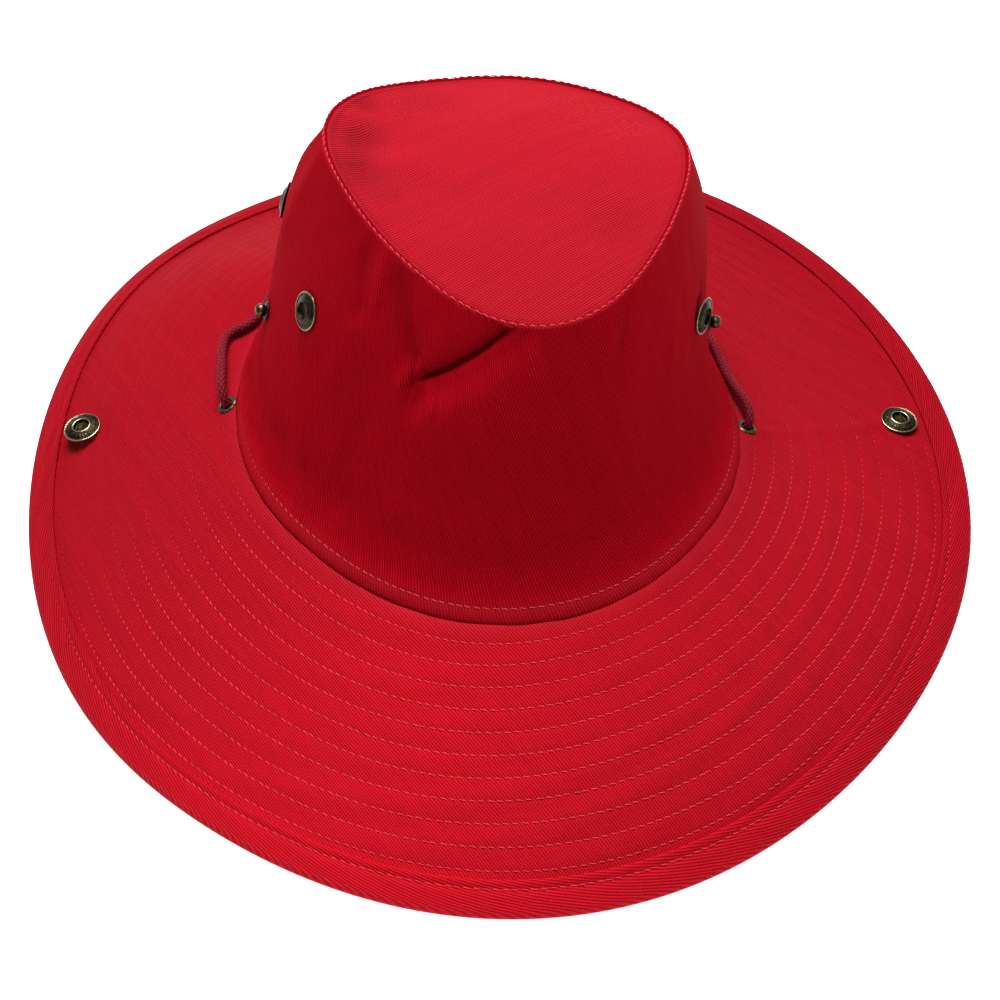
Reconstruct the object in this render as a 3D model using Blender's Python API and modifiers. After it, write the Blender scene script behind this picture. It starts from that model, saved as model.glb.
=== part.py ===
# Wide-brimmed cotton sun hat resting on its rim: tapered crown, drooping stitched brim with a bound edge,
# metal snaps, eyelets and a chin cord. Metres, +Z up, -Y is the front, +X is the viewer's right.
import math

import bpy
import numpy as np
from mathutils import Matrix, Vector

# Crown: an oval base seam and a smaller, slightly twisted top seam
CROWN_HALF_WIDTH = 0.0829
CROWN_HALF_DEPTH = 0.1014
CROWN_HEIGHT = 0.0901
TOP_HALF_WIDTH = 0.055
TOP_HALF_DEPTH = 0.060
TOP_SHIFT_RIGHT = 0.0074
TOP_SHIFT_BACK = 0.0048
TOP_TWIST = math.radians(8.7)
TOP_DOME = 0.004
WALL_CLOTH = 0.0015
PANEL_CLOTH = 0.0014
FOOT_TUCK = 0.0016

# Brim and its binding
BRIM_WIDTH = 0.0884
BASE_LIFT = 0.0382
BRIM_CLOTH = 0.0014
BINDING_WIDTH = 0.0112
BINDING_CLOTH = 0.001
REST_FLAT = 0.0006

# Metal parts
SNAP_RADIUS = 0.0066
CROWN_SNAP_RADIUS = 0.0062
SNAP_WELL_RADIUS = 0.0034
SNAP_HEIGHT = 0.0016
STUD_FLANGE_RADIUS = 0.0042
STUD_POST_RADIUS = 0.0014
STUD_HEAD_RADIUS = 0.0020
STUD_LENGTH = 0.0040
RIVET_RADIUS = 0.0013
WASHER_RADIUS = 0.0040
METAL = 0.0006
CORD_RADIUS = 0.0016
EYELET_HOLE_RADIUS = 0.0021
EYELET_BARREL = 0.0004
EYELET_FLANGE = 0.0011
SNAP_FROM_BINDING = 0.0035

# Clearances
GAP = 0.0003

# Mesh density
BRIM_STEPS = 80
WALL_STEPS = 62
WALL_ROWS = 10
TURN_STEPS = 12

# One row for every 30 degrees, counted from the viewer's right towards the back.
# reach: share of the base oval's half sizes; base: seam height, share of BASE_LIFT;
# rim: height of the rim, share of BRIM_WIDTH; bend: how much steeper the brim is at the rim than at the seam.
BRIM_SECTIONS = [
    dict(reach=0.999, base=0.72, rim=0.052, bend=-0.30),
    dict(reach=0.989, base=0.65, rim=0.044, bend=-0.46),
    dict(reach=1.008, base=0.75, rim=0.028, bend=-0.34),
    dict(reach=1.015, base=0.97, rim=0.023, bend=-0.14),
    dict(reach=0.989, base=1.12, rim=0.072, bend=-0.32),
    dict(reach=0.992, base=1.18, rim=0.126, bend=0.50),
    dict(reach=1.024, base=1.11, rim=0.041, bend=0.10),
    dict(reach=1.001, base=1.11, rim=0.053, bend=-0.24),
    dict(reach=0.971, base=1.10, rim=0.165, bend=-0.60),
    dict(reach=1.020, base=1.21, rim=0.087, bend=0.03),
    dict(reach=1.014, base=1.15, rim=0.012, bend=0.42),
    dict(reach=0.997, base=0.95, rim=0.049, bend=0.10),
]

# The same 30 degree stations for the crown.
# reach: share of the top oval's half sizes; rise: seam height above BASE_LIFT, share of CROWN_HEIGHT;
# belly and lean: how far the wall swells at half height and sways between its halves, share of CROWN_HEIGHT.
CROWN_SECTIONS = [
    dict(reach=1.006, rise=0.972, belly=-0.026, lean=-0.028),
    dict(reach=1.094, rise=0.915, belly=0.052, lean=-0.044),
    dict(reach=1.017, rise=0.926, belly=0.073, lean=-0.028),
    dict(reach=1.028, rise=0.935, belly=0.067, lean=-0.025),
    dict(reach=1.050, rise=1.001, belly=0.074, lean=-0.026),
    dict(reach=1.090, rise=1.094, belly=0.053, lean=-0.028),
    dict(reach=0.995, rise=1.102, belly=0.025, lean=-0.010),
    dict(reach=0.922, rise=1.040, belly=0.004, lean=-0.019),
    dict(reach=0.990, rise=0.986, belly=-0.017, lean=-0.018),
    dict(reach=1.094, rise=0.961, belly=-0.028, lean=-0.021),
    dict(reach=0.992, rise=0.987, belly=-0.051, lean=-0.027),
    dict(reach=0.920, rise=0.991, belly=-0.048, lean=-0.029),
]

# Dents and ridges of the crown wall: a soft line from one place to the other.
# angle in degrees, up as share of the wall, wide and out (outwards) as shares of CROWN_HEIGHT.
WALL_FOLDS = [
    dict(angle=262, up=0.99, to_angle=238, to_up=0.68, wide=0.060, out=-0.030),
    dict(angle=256, up=0.74, to_angle=248, to_up=0.64, wide=0.170, out=0.030),
    dict(angle=264, up=0.97, to_angle=267, to_up=0.82, wide=0.045, out=0.012),
    dict(angle=235, up=0.72, to_angle=233, to_up=0.68, wide=0.040, out=0.012),
    dict(angle=171, up=0.94, to_angle=171, to_up=0.70, wide=0.070, out=0.018),
    dict(angle=153, up=0.98, to_angle=146, to_up=0.80, wide=0.060, out=-0.030),
    dict(angle=292, up=0.90, to_angle=300, to_up=0.45, wide=0.120, out=0.014),
    dict(angle=222, up=0.60, to_angle=226, to_up=0.22, wide=0.110, out=-0.014),
]

# Dents of the top panel: angle in degrees, along as share from the middle to the seam,
# wide as share of TOP_HALF_DEPTH, down as share of CROWN_HEIGHT.
TOP_DENTS = [
    dict(angle=165, along=0.72, wide=0.30, down=0.022),
    dict(angle=205, along=0.60, wide=0.25, down=0.014),
    dict(angle=315, along=0.55, wide=0.40, down=0.010),
]

# Places of the metal parts: angle in degrees and share of the crown wall's height, or millimetres from the seam.
# lean: degrees that a part stands off square to the cloth, towards the front on the crown and upright on the brim.
STUDS = [
    dict(name="snap_stud_left", angle=177.8, up=0.378, lean=0),
    dict(name="snap_stud_right", angle=1.2, up=0.38, lean=11),
]
CROWN_SNAPS = [
    dict(name="crown_snap_front_left", angle=196.2, up=0.628, lean=0),
    dict(name="crown_snap_front_right", angle=342.4, up=0.575, lean=14),
    dict(name="crown_snap_back_left", angle=156.5, up=0.60, lean=0),
    dict(name="crown_snap_back_right", angle=24, up=0.54, lean=0),
]
BRIM_SNAPS = [
    dict(name="snap_socket_left", angle=176.6, lean=21),
    dict(name="snap_socket_right", angle=3.7, lean=8),
]
EYELETS = [
    dict(name="eyelet_left", angle=181.3, along=5.5),
    dict(name="eyelet_right", angle=-3.9, along=4.8),
]

# Chin cord: the stretch on the brim, from the right eyelet round the back to the left one.
# Degrees, millimetres from the base seam along the brim, millimetres above its middle surface.
CORD_ON_BRIM = [
    (-3.9, 4.8, -7), (-3.9, 4.8, 0), (-3.55, 4.7, 3.0), (-2.4, 4.3, 5.0), (-0.6, 3.6, 5.8), (1.8, 2.8, 5.5),
    (5.1, 2.1, 4.4), (9.3, 1.8, 3.4), (13, 2.1, 3.0), (20, 3.6, 3.0), (35, 5.2, 3.0), (60, 5.2, 3.2),
    (90, 5.0, 3.4), (120, 5.2, 3.2), (145, 4.2, 3.1), (155, 2.7, 3.0), (160.5, 3.1, 3.0), (162.8, 6.0, 3.0),
    (163.9, 9.4, 3.0), (165.5, 11.4, 3.4), (167.9, 10.7, 4.2), (170.8, 9.0, 5.0), (173.6, 7.1, 5.9),
    (176, 6.0, 6.2), (178.1, 5.4, 6.1), (179.7, 5.3, 5.3), (180.85, 5.4, 3.3), (181.3, 5.5, 0.45),
]
# The hidden chin loop: down from the left eyelet, round the front on the ground and up to the right eyelet, in mm.
CORD_BELOW = [
    (-91, -4, 24), (-94, -10, 12), (-100, -21, 4.6), (-107, -38, 2.3), (-113, -64, 2.0), (-103, -99, 2.0),
    (-67, -132, 2.0), (0, -146, 2.0), (65, -131, 2.0), (101, -96, 2.0), (108, -62, 2.0), (101, -36, 2.5),
    (92, -20, 5.5), (85, -11, 12),
]
CORD_POINTS = 78


def wave(table, name, angle):
    """Smooth closed wave through one column of a table of evenly spaced stations."""
    values = np.array([row[name] for row in table])
    parts = np.fft.rfft(values) / len(values)
    angle = np.asarray(angle, float)
    total = np.full(angle.shape, parts[0].real)
    for turn in range(1, len(parts)):
        weight = 1 if 2 * turn == len(values) else 2
        total = total + weight * (parts[turn] * np.exp(1j * turn * angle)).real
    return total


def base_seam(angle):
    """Where crown and brim meet, before the hat is set on the ground."""
    reach = wave(BRIM_SECTIONS, "reach", angle)
    x = CROWN_HALF_WIDTH * reach * np.cos(angle)
    y = CROWN_HALF_DEPTH * reach * np.sin(angle)
    z = BASE_LIFT * wave(BRIM_SECTIONS, "base", angle)
    return np.stack([x, y, z], -1)


def outward(angle):
    """Level direction square to the base seam."""
    step = 0.002
    along = base_seam(angle + step) - base_seam(angle - step)
    flat = np.stack([along[..., 1], -along[..., 0], np.zeros_like(along[..., 0])], -1)
    return flat / np.linalg.norm(flat, axis=-1, keepdims=True)


def brim_middle(angle, along):
    """Middle surface of the brim at a distance from the base seam, along the cloth."""
    angle, along = np.broadcast_arrays(np.asarray(angle, float), np.asarray(along, float))
    seam = base_seam(angle)
    drop = seam[..., 2] - BRIM_WIDTH * wave(BRIM_SECTIONS, "rim", angle)
    level = np.sqrt(np.maximum((0.99 * BRIM_WIDTH) ** 2 - drop ** 2, (0.3 * BRIM_WIDTH) ** 2))
    share = along / BRIM_WIDTH
    bend = wave(BRIM_SECTIONS, "bend", angle)
    point = seam + outward(angle) * (level * share)[..., None]
    point[..., 2] -= drop * (share + bend * (share ** 2 - share))
    return point


def brim_normal(angle, along):
    """Unit normal of the brim, pointing up."""
    a = brim_middle(angle + 0.002, along) - brim_middle(angle - 0.002, along)
    b = brim_middle(angle, along + 0.0004) - brim_middle(angle, along - 0.0004)
    normal = np.cross(b, a)
    return normal / np.linalg.norm(normal, axis=-1, keepdims=True)


def brim_point(angle, along, above=0.0):
    """Point of the brim, raised square to its surface."""
    angle, along = np.broadcast_arrays(np.asarray(angle, float), np.asarray(along, float))
    normal = brim_normal(angle, along)
    return brim_middle(angle, along) + normal * np.asarray(above)[..., None]


def top_seam(angle):
    """Edge of the crown, where its wall meets the top panel."""
    reach = wave(CROWN_SECTIONS, "reach", angle)
    turned = angle + TOP_TWIST
    x = TOP_SHIFT_RIGHT + TOP_HALF_WIDTH * reach * np.cos(turned)
    y = TOP_SHIFT_BACK + TOP_HALF_DEPTH * reach * np.sin(turned)
    z = BASE_LIFT + CROWN_HEIGHT * wave(CROWN_SECTIONS, "rise", angle)
    return np.stack([x, y, z], -1)


def fold_push(angle, up):
    """How far the folds push the wall outwards."""
    girth = (CROWN_HALF_WIDTH + CROWN_HALF_DEPTH) / 2
    total = np.zeros(np.broadcast(angle, up).shape)
    for fold in WALL_FOLDS:
        start = np.array([math.radians(fold["angle"]) * girth, fold["up"] * CROWN_HEIGHT])
        end = np.array([math.radians(fold["to_angle"]) * girth, fold["to_up"] * CROWN_HEIGHT])
        line = end - start
        away_x = (np.mod(angle * girth - start[0] + math.pi * girth, 2 * math.pi * girth) - math.pi * girth)
        away_y = up * CROWN_HEIGHT - start[1]
        share = np.clip((away_x * line[0] + away_y * line[1]) / (line @ line), 0, 1)
        far = np.hypot(away_x - share * line[0], away_y - share * line[1])
        total = total + fold["out"] * CROWN_HEIGHT * np.exp(-(far / (fold["wide"] * CROWN_HEIGHT)) ** 2)
    return total * np.sin(np.pi * np.clip(up, 0, 1)) ** 0.4


def wall_middle(angle, up):
    """Middle surface of the crown wall, up being 0 at the base seam and 1 at the top seam."""
    angle, up = np.broadcast_arrays(np.asarray(angle, float), np.asarray(up, float))
    low, high = base_seam(angle), top_seam(angle)
    share = np.clip(up, 0, 1)
    swell = wave(CROWN_SECTIONS, "belly", angle) * np.sin(np.pi * share)
    swell = swell + wave(CROWN_SECTIONS, "lean", angle) * np.sin(2 * np.pi * share)
    tuck = FOOT_TUCK * np.exp(-((share - 0.14) / 0.09) ** 2) * np.clip(share / 0.05, 0, 1)
    push = CROWN_HEIGHT * swell - tuck + fold_push(angle, share)
    return low + (high - low) * up[..., None] + outward(angle) * push[..., None]


def wall_normal(angle, up):
    """Unit normal of the crown wall, pointing outwards."""
    a = wall_middle(angle + 0.02, up) - wall_middle(angle - 0.02, up)
    b = wall_middle(angle, up + 0.02) - wall_middle(angle, up - 0.02)
    normal = np.cross(a, b)
    return normal / np.linalg.norm(normal, axis=-1, keepdims=True)


def panel_middle(angle, along):
    """Middle surface of the top panel, along being 0 in the middle and 1 at its edge."""
    angle, along = np.broadcast_arrays(np.asarray(angle, float), np.asarray(along, float))
    edge = top_seam(angle)
    middle = np.array([TOP_SHIFT_RIGHT, TOP_SHIFT_BACK, 0.0])
    inset = (WALL_CLOTH / 2 + GAP) * 1.15
    span = edge - middle
    flat = np.linalg.norm(span[..., :2], axis=-1)
    point = middle + span * (along * (1 - inset / flat))[..., None]
    crest = BASE_LIFT + CROWN_HEIGHT * np.mean([row["rise"] for row in CROWN_SECTIONS]) + TOP_DOME
    height = crest + (edge[..., 2] - PANEL_CLOTH / 2 - crest) * along ** 2
    for dent in TOP_DENTS:
        spot = math.radians(dent["angle"])
        x = TOP_SHIFT_RIGHT + TOP_HALF_WIDTH * dent["along"] * math.cos(spot)
        y = TOP_SHIFT_BACK + TOP_HALF_DEPTH * dent["along"] * math.sin(spot)
        far = np.hypot(point[..., 0] - x, point[..., 1] - y) / (dent["wide"] * TOP_HALF_DEPTH)
        height = height - dent["down"] * CROWN_HEIGHT * np.exp(-far ** 2) * (1 - along ** 4)
    point[..., 2] = height
    return point


def binding_profile():
    """Section of the folded binding: distance along the brim and height over its middle surface."""
    inner = BRIM_CLOTH / 2 + GAP
    outer = inner + BINDING_CLOTH
    edge = BRIM_WIDTH - BINDING_WIDTH
    return np.array([
        (edge, outer), (BRIM_WIDTH - 0.9 * outer, outer), (BRIM_WIDTH - 0.25 * outer, 0.7 * outer),
        (BRIM_WIDTH, 0), (BRIM_WIDTH - 0.2 * outer, -0.7 * outer), (BRIM_WIDTH - 0.6 * outer, -outer),
        (BRIM_WIDTH - 1.2 * outer, -outer), (edge, -outer), (edge, -inner),
        (BRIM_WIDTH - BINDING_CLOTH - 0.5 * inner, -inner), (BRIM_WIDTH - BINDING_CLOTH, 0),
        (BRIM_WIDTH - BINDING_CLOTH - 0.5 * inner, inner), (edge, inner),
    ])


def binding_points():
    """All points of the binding, one row for each step round the hat."""
    angle = np.arange(BRIM_STEPS) * 2 * math.pi / BRIM_STEPS
    profile = binding_profile()
    return brim_point(angle[:, None], profile[None, :, 0], profile[None, :, 1])


def ground_and_middle():
    """Shift that sets the rim on the ground, pressed flat by REST_FLAT, and centres its outline."""
    points = binding_points().reshape(-1, 3)
    low, high = points.min(0), points.max(0)
    return np.array([-(low[0] + high[0]) / 2, -(low[1] + high[1]) / 2, -low[2] - REST_FLAT])


SHIFT = ground_and_middle()
UPRIGHT = (0, 0, 1)
FORWARDS = (0, -1, 0)


def new_material(name, color, roughness, metallic):
    material = bpy.data.materials.new(name)
    material.use_nodes = True
    shader = material.node_tree.nodes["Principled BSDF"]
    shader.inputs["Base Color"].default_value = (*color, 1)
    shader.inputs["Roughness"].default_value = roughness
    shader.inputs["Metallic"].default_value = metallic
    return material


def add_object(name, data, collection, material):
    thing = bpy.data.objects.new(name, data)
    collection.objects.link(thing)
    data.materials.append(material)
    return thing


def grid_mesh(name, points, close_across):
    """Mesh through a grid of points, closed round the hat and, if asked, across it."""
    rounds, across = points.shape[:2]
    faces = []
    for i in range(rounds):
        for j in range(across if close_across else across - 1):
            after, beside = (i + 1) % rounds, (j + 1) % across
            faces.append((i * across + j, after * across + j, after * across + beside, i * across + beside))
    mesh = bpy.data.meshes.new(name)
    mesh.from_pydata([tuple(p) for p in points.reshape(-1, 3)], [], faces)
    mesh.update()
    return mesh


def add_cloth(thing, thickness):
    """Gives an open surface its thickness, half on either side."""
    solid = thing.modifiers.new("cloth", "SOLIDIFY")
    solid.thickness = thickness
    solid.offset = 0
    thing.data.shade_smooth()


def add_hole(thing, cutters, frame, radius, length):
    """Cuts a round hole square to the surface."""
    bpy.ops.mesh.primitive_cylinder_add(vertices=TURN_STEPS, radius=radius, depth=length)
    cutter = bpy.context.object
    cutter.name = "hole_" + thing.name
    cutter.matrix_world = frame
    for old in list(cutter.users_collection):
        old.objects.unlink(cutter)
    cutters.objects.link(cutter)
    cutter.display_type = "WIRE"
    cutter.hide_render = True
    cut = thing.modifiers.new("hole", "BOOLEAN")
    cut.operation = "DIFFERENCE"
    cut.solver = "EXACT"
    cut.object = cutter


def surface_frame(surface, first, second, lean, lean_to):
    """Place and turn whose Z axis is square to the surface, or leans from there by some degrees."""
    first, second = np.asarray(float(first)), np.asarray(float(second))
    normal = wall_normal(first, second) if surface is wall_middle else brim_normal(first, second)
    sideways = np.array(lean_to) - normal * (normal @ np.array(lean_to))
    normal = normal + math.tan(math.radians(lean)) * sideways / np.linalg.norm(sideways)
    place = Vector(surface(first, second) + SHIFT)
    return Matrix.Translation(place) @ Vector(normal).to_track_quat("Z", "Y").to_matrix().to_4x4()


def surface_swell(surface, frame, first, second, spread_first, spread_second):
    """How far the surface rises above and sinks below its tangent plane near a place."""
    a, b = np.meshgrid(np.linspace(-1, 1, 7), np.linspace(-1, 1, 7))
    keep = np.hypot(a, b) <= 1.01
    points = surface(first + a[keep] * spread_first, second + b[keep] * spread_second) + SHIFT
    heights = (points - np.array(frame.translation)) @ np.array(frame.col[2].xyz)
    return max(heights.max(), 0), max(-heights.min(), 0)


def add_turned(name, profile, frame, collection, material):
    """Turned piece from a profile that runs from the axis at the top down its outer side."""
    mesh = bpy.data.meshes.new(name)
    closed = abs(profile[0][0]) > 1e-9
    count = len(profile)
    edges = [(i, (i + 1) % count) for i in range(count if closed else count - 1)]
    mesh.from_pydata([(x, 0, z) for x, z in profile], edges, [])
    thing = add_object(name, mesh, collection, material)
    turn = thing.modifiers.new("turn", "SCREW")
    turn.axis = "Z"
    turn.angle = 2 * math.pi
    turn.steps = turn.render_steps = TURN_STEPS
    turn.use_merge_vertices = True
    turn.merge_threshold = 0.00001
    turn.use_smooth_shade = True
    thing.matrix_world = frame
    return thing


def rivet_back(above, below):
    """Lower part of every snap: a post through the cloth and a washer behind it."""
    return [
        (RIVET_RADIUS, above), (RIVET_RADIUS, -below), (WASHER_RADIUS, -below),
        (WASHER_RADIUS, -below - METAL), (0, -below - 1.4 * METAL),
    ]


def snap_profile(radius, above, below):
    """Ring-shaped snap with a sunk middle."""
    top = above + SNAP_HEIGHT
    return [
        (0, above + METAL), (SNAP_WELL_RADIUS, above + METAL), (SNAP_WELL_RADIUS, top),
        ((SNAP_WELL_RADIUS + radius) / 2, top), (radius, above + METAL), (0.97 * radius, above),
    ] + rivet_back(above, below)


def stud_profile(above, below):
    """Flange, post and rounded head that a snap closes over."""
    tip = above + STUD_LENGTH
    head = tip - 1.6 * STUD_HEAD_RADIUS
    return [
        (0, tip), (0.7 * STUD_HEAD_RADIUS, tip - 0.2 * STUD_HEAD_RADIUS),
        (STUD_HEAD_RADIUS, tip - 0.9 * STUD_HEAD_RADIUS), (STUD_POST_RADIUS, head),
        (STUD_POST_RADIUS, above + 1.5 * METAL), (STUD_FLANGE_RADIUS, above + METAL), (STUD_FLANGE_RADIUS, above),
    ] + rivet_back(above, below)


def eyelet_profile(above, below):
    """Eyelet: a barrel through the brim with a rolled flange on both sides."""
    barrel = EYELET_HOLE_RADIUS + EYELET_BARREL
    flange = barrel + EYELET_FLANGE
    return [
        (EYELET_HOLE_RADIUS, above + 0.5 * METAL), (barrel, above + METAL), (flange, above + 0.5 * METAL),
        (flange, above), (barrel, above), (barrel, -below), (flange, -below), (flange, -below - METAL),
        (EYELET_HOLE_RADIUS, -below - METAL),
    ]


def smooth_path(route, count):
    """Points along a smooth curve through the route, closer together where it bends."""
    route = np.array(route, float)
    ends = np.vstack([2 * route[0] - route[1], route, 2 * route[-1] - route[-2]])
    dense = []
    for before, start, end, after in zip(ends, ends[1:], ends[2:], ends[3:]):
        knots = np.cumsum([0] + [math.sqrt(np.linalg.norm(b - a)) for a, b in
                                 ((before, start), (start, end), (end, after))])
        at = np.linspace(knots[1], knots[2], 40, endpoint=False)[:, None]
        a1 = (knots[1] - at) / (knots[1] - knots[0]) * before + (at - knots[0]) / (knots[1] - knots[0]) * start
        a2 = (knots[2] - at) / (knots[2] - knots[1]) * start + (at - knots[1]) / (knots[2] - knots[1]) * end
        a3 = (knots[3] - at) / (knots[3] - knots[2]) * end + (at - knots[2]) / (knots[3] - knots[2]) * after
        b1 = (knots[2] - at) / (knots[2] - knots[0]) * a1 + (at - knots[0]) / (knots[2] - knots[0]) * a2
        b2 = (knots[3] - at) / (knots[3] - knots[1]) * a2 + (at - knots[1]) / (knots[3] - knots[1]) * a3
        dense.append((knots[2] - at) / (knots[2] - knots[1]) * b1 + (at - knots[1]) / (knots[2] - knots[1]) * b2)
    dense = np.vstack(dense + [route[-1:]])
    steps = np.diff(dense, axis=0)
    lengths = np.linalg.norm(steps, axis=1)
    heading = steps / lengths[:, None]
    turns = np.arccos(np.clip((heading[1:] * heading[:-1]).sum(1), -1, 1))
    cost = lengths / 0.011 + np.append(turns, 0) / math.radians(16)
    total = np.append(0, np.cumsum(cost))
    at = np.linspace(0, total[-1], count)
    return np.stack([np.interp(at, total, dense[:, k]) for k in range(3)], -1)


def cord_path():
    """Whole loop of the chin cord, from inside the left eyelet and back to it."""
    below = [tuple(0.001 * v for v in point) for point in CORD_BELOW]
    over = np.array(CORD_ON_BRIM)
    on_brim = brim_point(np.radians(over[:, 0]), over[:, 1] * 0.001, over[:, 2] * 0.001) + SHIFT
    left = np.radians(CORD_ON_BRIM[-1][0])
    seam_side = CORD_ON_BRIM[-1][1] * 0.001
    start = brim_point(left, seam_side, 0.001 * CORD_ON_BRIM[-1][2] - GAP) + SHIFT
    lower = brim_point(left, seam_side, -0.007) + SHIFT
    return smooth_path([start, lower] + below + list(on_brim), CORD_POINTS)


def build():
    for old in list(bpy.data.objects):
        bpy.data.objects.remove(old, do_unlink=True)
    hat = bpy.data.collections.new("cricket_hat")
    cutters = bpy.data.collections.new("cutters")
    bpy.context.scene.collection.children.link(hat)
    bpy.context.scene.collection.children.link(cutters)

    twill = new_material("red_twill", (0.52, 0.006, 0.022), 0.85, 0)
    bronze = new_material("antique_bronze", (0.11, 0.09, 0.045), 0.38, 1)
    braid = new_material("maroon_braid", (0.30, 0.006, 0.02), 0.8, 0)

    # Crown: steps crowd towards the front left, where the folds are
    turn = np.arange(WALL_STEPS) * 2 * math.pi / WALL_STEPS
    angle = turn - 0.3 * np.sin(turn - math.radians(250))
    up = np.append(-0.008, np.linspace(0, 1, WALL_ROWS + 1)[1:])
    wall_points = wall_middle(angle[:, None], up[None]) + SHIFT
    wall = add_object("crown_wall", grid_mesh("crown_wall", wall_points, False), hat, twill)
    add_cloth(wall, WALL_CLOTH)

    along = np.array([1, 0.82, 0.58, 0.32])
    panel_points = panel_middle(angle[:, None], along[None]) + SHIFT
    panel_mesh = grid_mesh("crown_top", panel_points[:, ::-1], False)
    panel = add_object("crown_top", panel_mesh, hat, twill)
    close_middle(panel_mesh, panel_middle(0.0, 0.0) + SHIFT, len(along))
    add_cloth(panel, PANEL_CLOTH)

    # Brim from just outside the crown wall to inside the fold of the binding
    round_hat = np.arange(BRIM_STEPS) * 2 * math.pi / BRIM_STEPS
    first = WALL_CLOTH / 2 + GAP + 0.55 * BRIM_CLOTH
    last = BRIM_WIDTH - BINDING_CLOTH - GAP - 0.2 * BRIM_CLOTH
    rows = np.append(np.linspace(first, BRIM_WIDTH - BINDING_WIDTH, 5), last)
    brim_mesh = grid_mesh("brim", brim_middle(round_hat[:, None], rows[None]) + SHIFT, False)
    brim = add_object("brim", brim_mesh, hat, twill)
    add_cloth(brim, BRIM_CLOTH)

    # Binding, pressed flat where it meets the ground
    bound = binding_points() + SHIFT
    bound[..., 2] = np.maximum(bound[..., 2], 0)
    binding = add_object("brim_binding", grid_mesh("brim_binding", bound[:, ::-1], True), hat, twill)
    binding.data.shade_smooth()

    for row in EYELETS:
        at = math.radians(row["angle"])
        along = 0.001 * row["along"]
        frame = surface_frame(brim_middle, at, along, 0, UPRIGHT)
        outer = EYELET_HOLE_RADIUS + EYELET_BARREL + EYELET_FLANGE
        rise, sink = surface_swell(brim_middle, frame, at, along, outer / CROWN_HALF_WIDTH, outer)
        above, below = BRIM_CLOTH / 2 + GAP + rise, BRIM_CLOTH / 2 + GAP + sink
        add_turned(row["name"], eyelet_profile(above, below), frame, hat, bronze)
        hole = EYELET_HOLE_RADIUS + EYELET_BARREL + GAP
        add_hole(brim, cutters, frame, hole, 6 * BRIM_CLOTH)

    snap_place = BRIM_WIDTH - BINDING_WIDTH - SNAP_FROM_BINDING - SNAP_RADIUS
    for row in BRIM_SNAPS:
        at = math.radians(row["angle"])
        frame = surface_frame(brim_middle, at, snap_place, row["lean"], UPRIGHT)
        spread = SNAP_RADIUS / (CROWN_HALF_WIDTH + snap_place)
        rise, sink = surface_swell(brim_middle, frame, at, snap_place, spread, SNAP_RADIUS)
        above, below = BRIM_CLOTH / 2 + GAP + rise, BRIM_CLOTH / 2 + GAP + sink
        add_turned(row["name"], snap_profile(SNAP_RADIUS, above, below), frame, hat, bronze)
        add_hole(brim, cutters, frame, RIVET_RADIUS + GAP, 6 * BRIM_CLOTH)

    for row in CROWN_SNAPS + STUDS:
        at, height = math.radians(row["angle"]), row["up"]
        frame = surface_frame(wall_middle, at, height, row["lean"], FORWARDS)
        is_stud = row in STUDS
        radius = STUD_FLANGE_RADIUS if is_stud else CROWN_SNAP_RADIUS
        spread = radius / (0.5 * CROWN_HALF_WIDTH + 0.5 * TOP_HALF_WIDTH)
        rise, sink = surface_swell(wall_middle, frame, at, height, spread, radius / CROWN_HEIGHT)
        above, below = WALL_CLOTH / 2 + GAP + rise, WALL_CLOTH / 2 + GAP + sink
        profile = stud_profile(above, below) if is_stud else snap_profile(radius, above, below)
        add_turned(row["name"], profile, frame, hat, bronze)
        add_hole(wall, cutters, frame, RIVET_RADIUS + GAP, 6 * WALL_CLOTH)

    path = cord_path()
    curve = bpy.data.curves.new("chin_cord", "CURVE")
    curve.dimensions = "3D"
    curve.bevel_depth = CORD_RADIUS
    curve.bevel_resolution = 2
    curve.use_fill_caps = True
    line = curve.splines.new("POLY")
    line.points.add(len(path) - 1)
    for point, place in zip(line.points, path):
        point.co = (*place, 1)
    add_object("chin_cord", curve, hat, braid)


def close_middle(mesh, middle, across):
    """Fills the hole in the middle of a ring of faces with a fan."""
    corners = [tuple(vertex.co) for vertex in mesh.vertices]
    faces = [tuple(face.vertices) for face in mesh.polygons]
    inner = list(range(0, len(corners), across))
    centre = len(corners)
    for i, start in enumerate(inner):
        faces.append((start, inner[(i + 1) % len(inner)], centre)[::-1])
    mesh.clear_geometry()
    mesh.from_pydata(corners + [tuple(middle)], [], faces)
    mesh.update()


build()
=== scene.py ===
# Wide-brimmed cotton sun hat in red twill, resting on its rim, as seen from the front and above.
import math

import bpy
import numpy as np
from mathutils import Matrix, Vector


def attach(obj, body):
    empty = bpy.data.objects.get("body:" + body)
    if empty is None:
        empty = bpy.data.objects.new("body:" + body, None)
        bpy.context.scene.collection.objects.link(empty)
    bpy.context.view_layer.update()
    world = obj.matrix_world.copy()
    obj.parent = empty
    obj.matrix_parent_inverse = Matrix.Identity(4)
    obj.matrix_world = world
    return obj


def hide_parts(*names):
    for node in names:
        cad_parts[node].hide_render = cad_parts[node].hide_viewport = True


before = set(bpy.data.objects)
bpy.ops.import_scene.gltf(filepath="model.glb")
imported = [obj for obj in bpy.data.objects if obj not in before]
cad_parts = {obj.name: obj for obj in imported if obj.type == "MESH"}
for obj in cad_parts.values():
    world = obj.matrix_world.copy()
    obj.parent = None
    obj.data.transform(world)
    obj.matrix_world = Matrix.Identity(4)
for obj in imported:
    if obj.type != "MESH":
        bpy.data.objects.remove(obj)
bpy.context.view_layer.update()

TURN = 2 * math.pi


def named_rows(columns, values):
    """Table: a dict for each row of values, under the named columns."""
    return [dict(zip(columns.split(), row)) for row in values]


def bell(far, wide):
    """Bell curve: 1 in its middle, less and less from there."""
    return np.exp(-(far / wide) ** 2)


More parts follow.
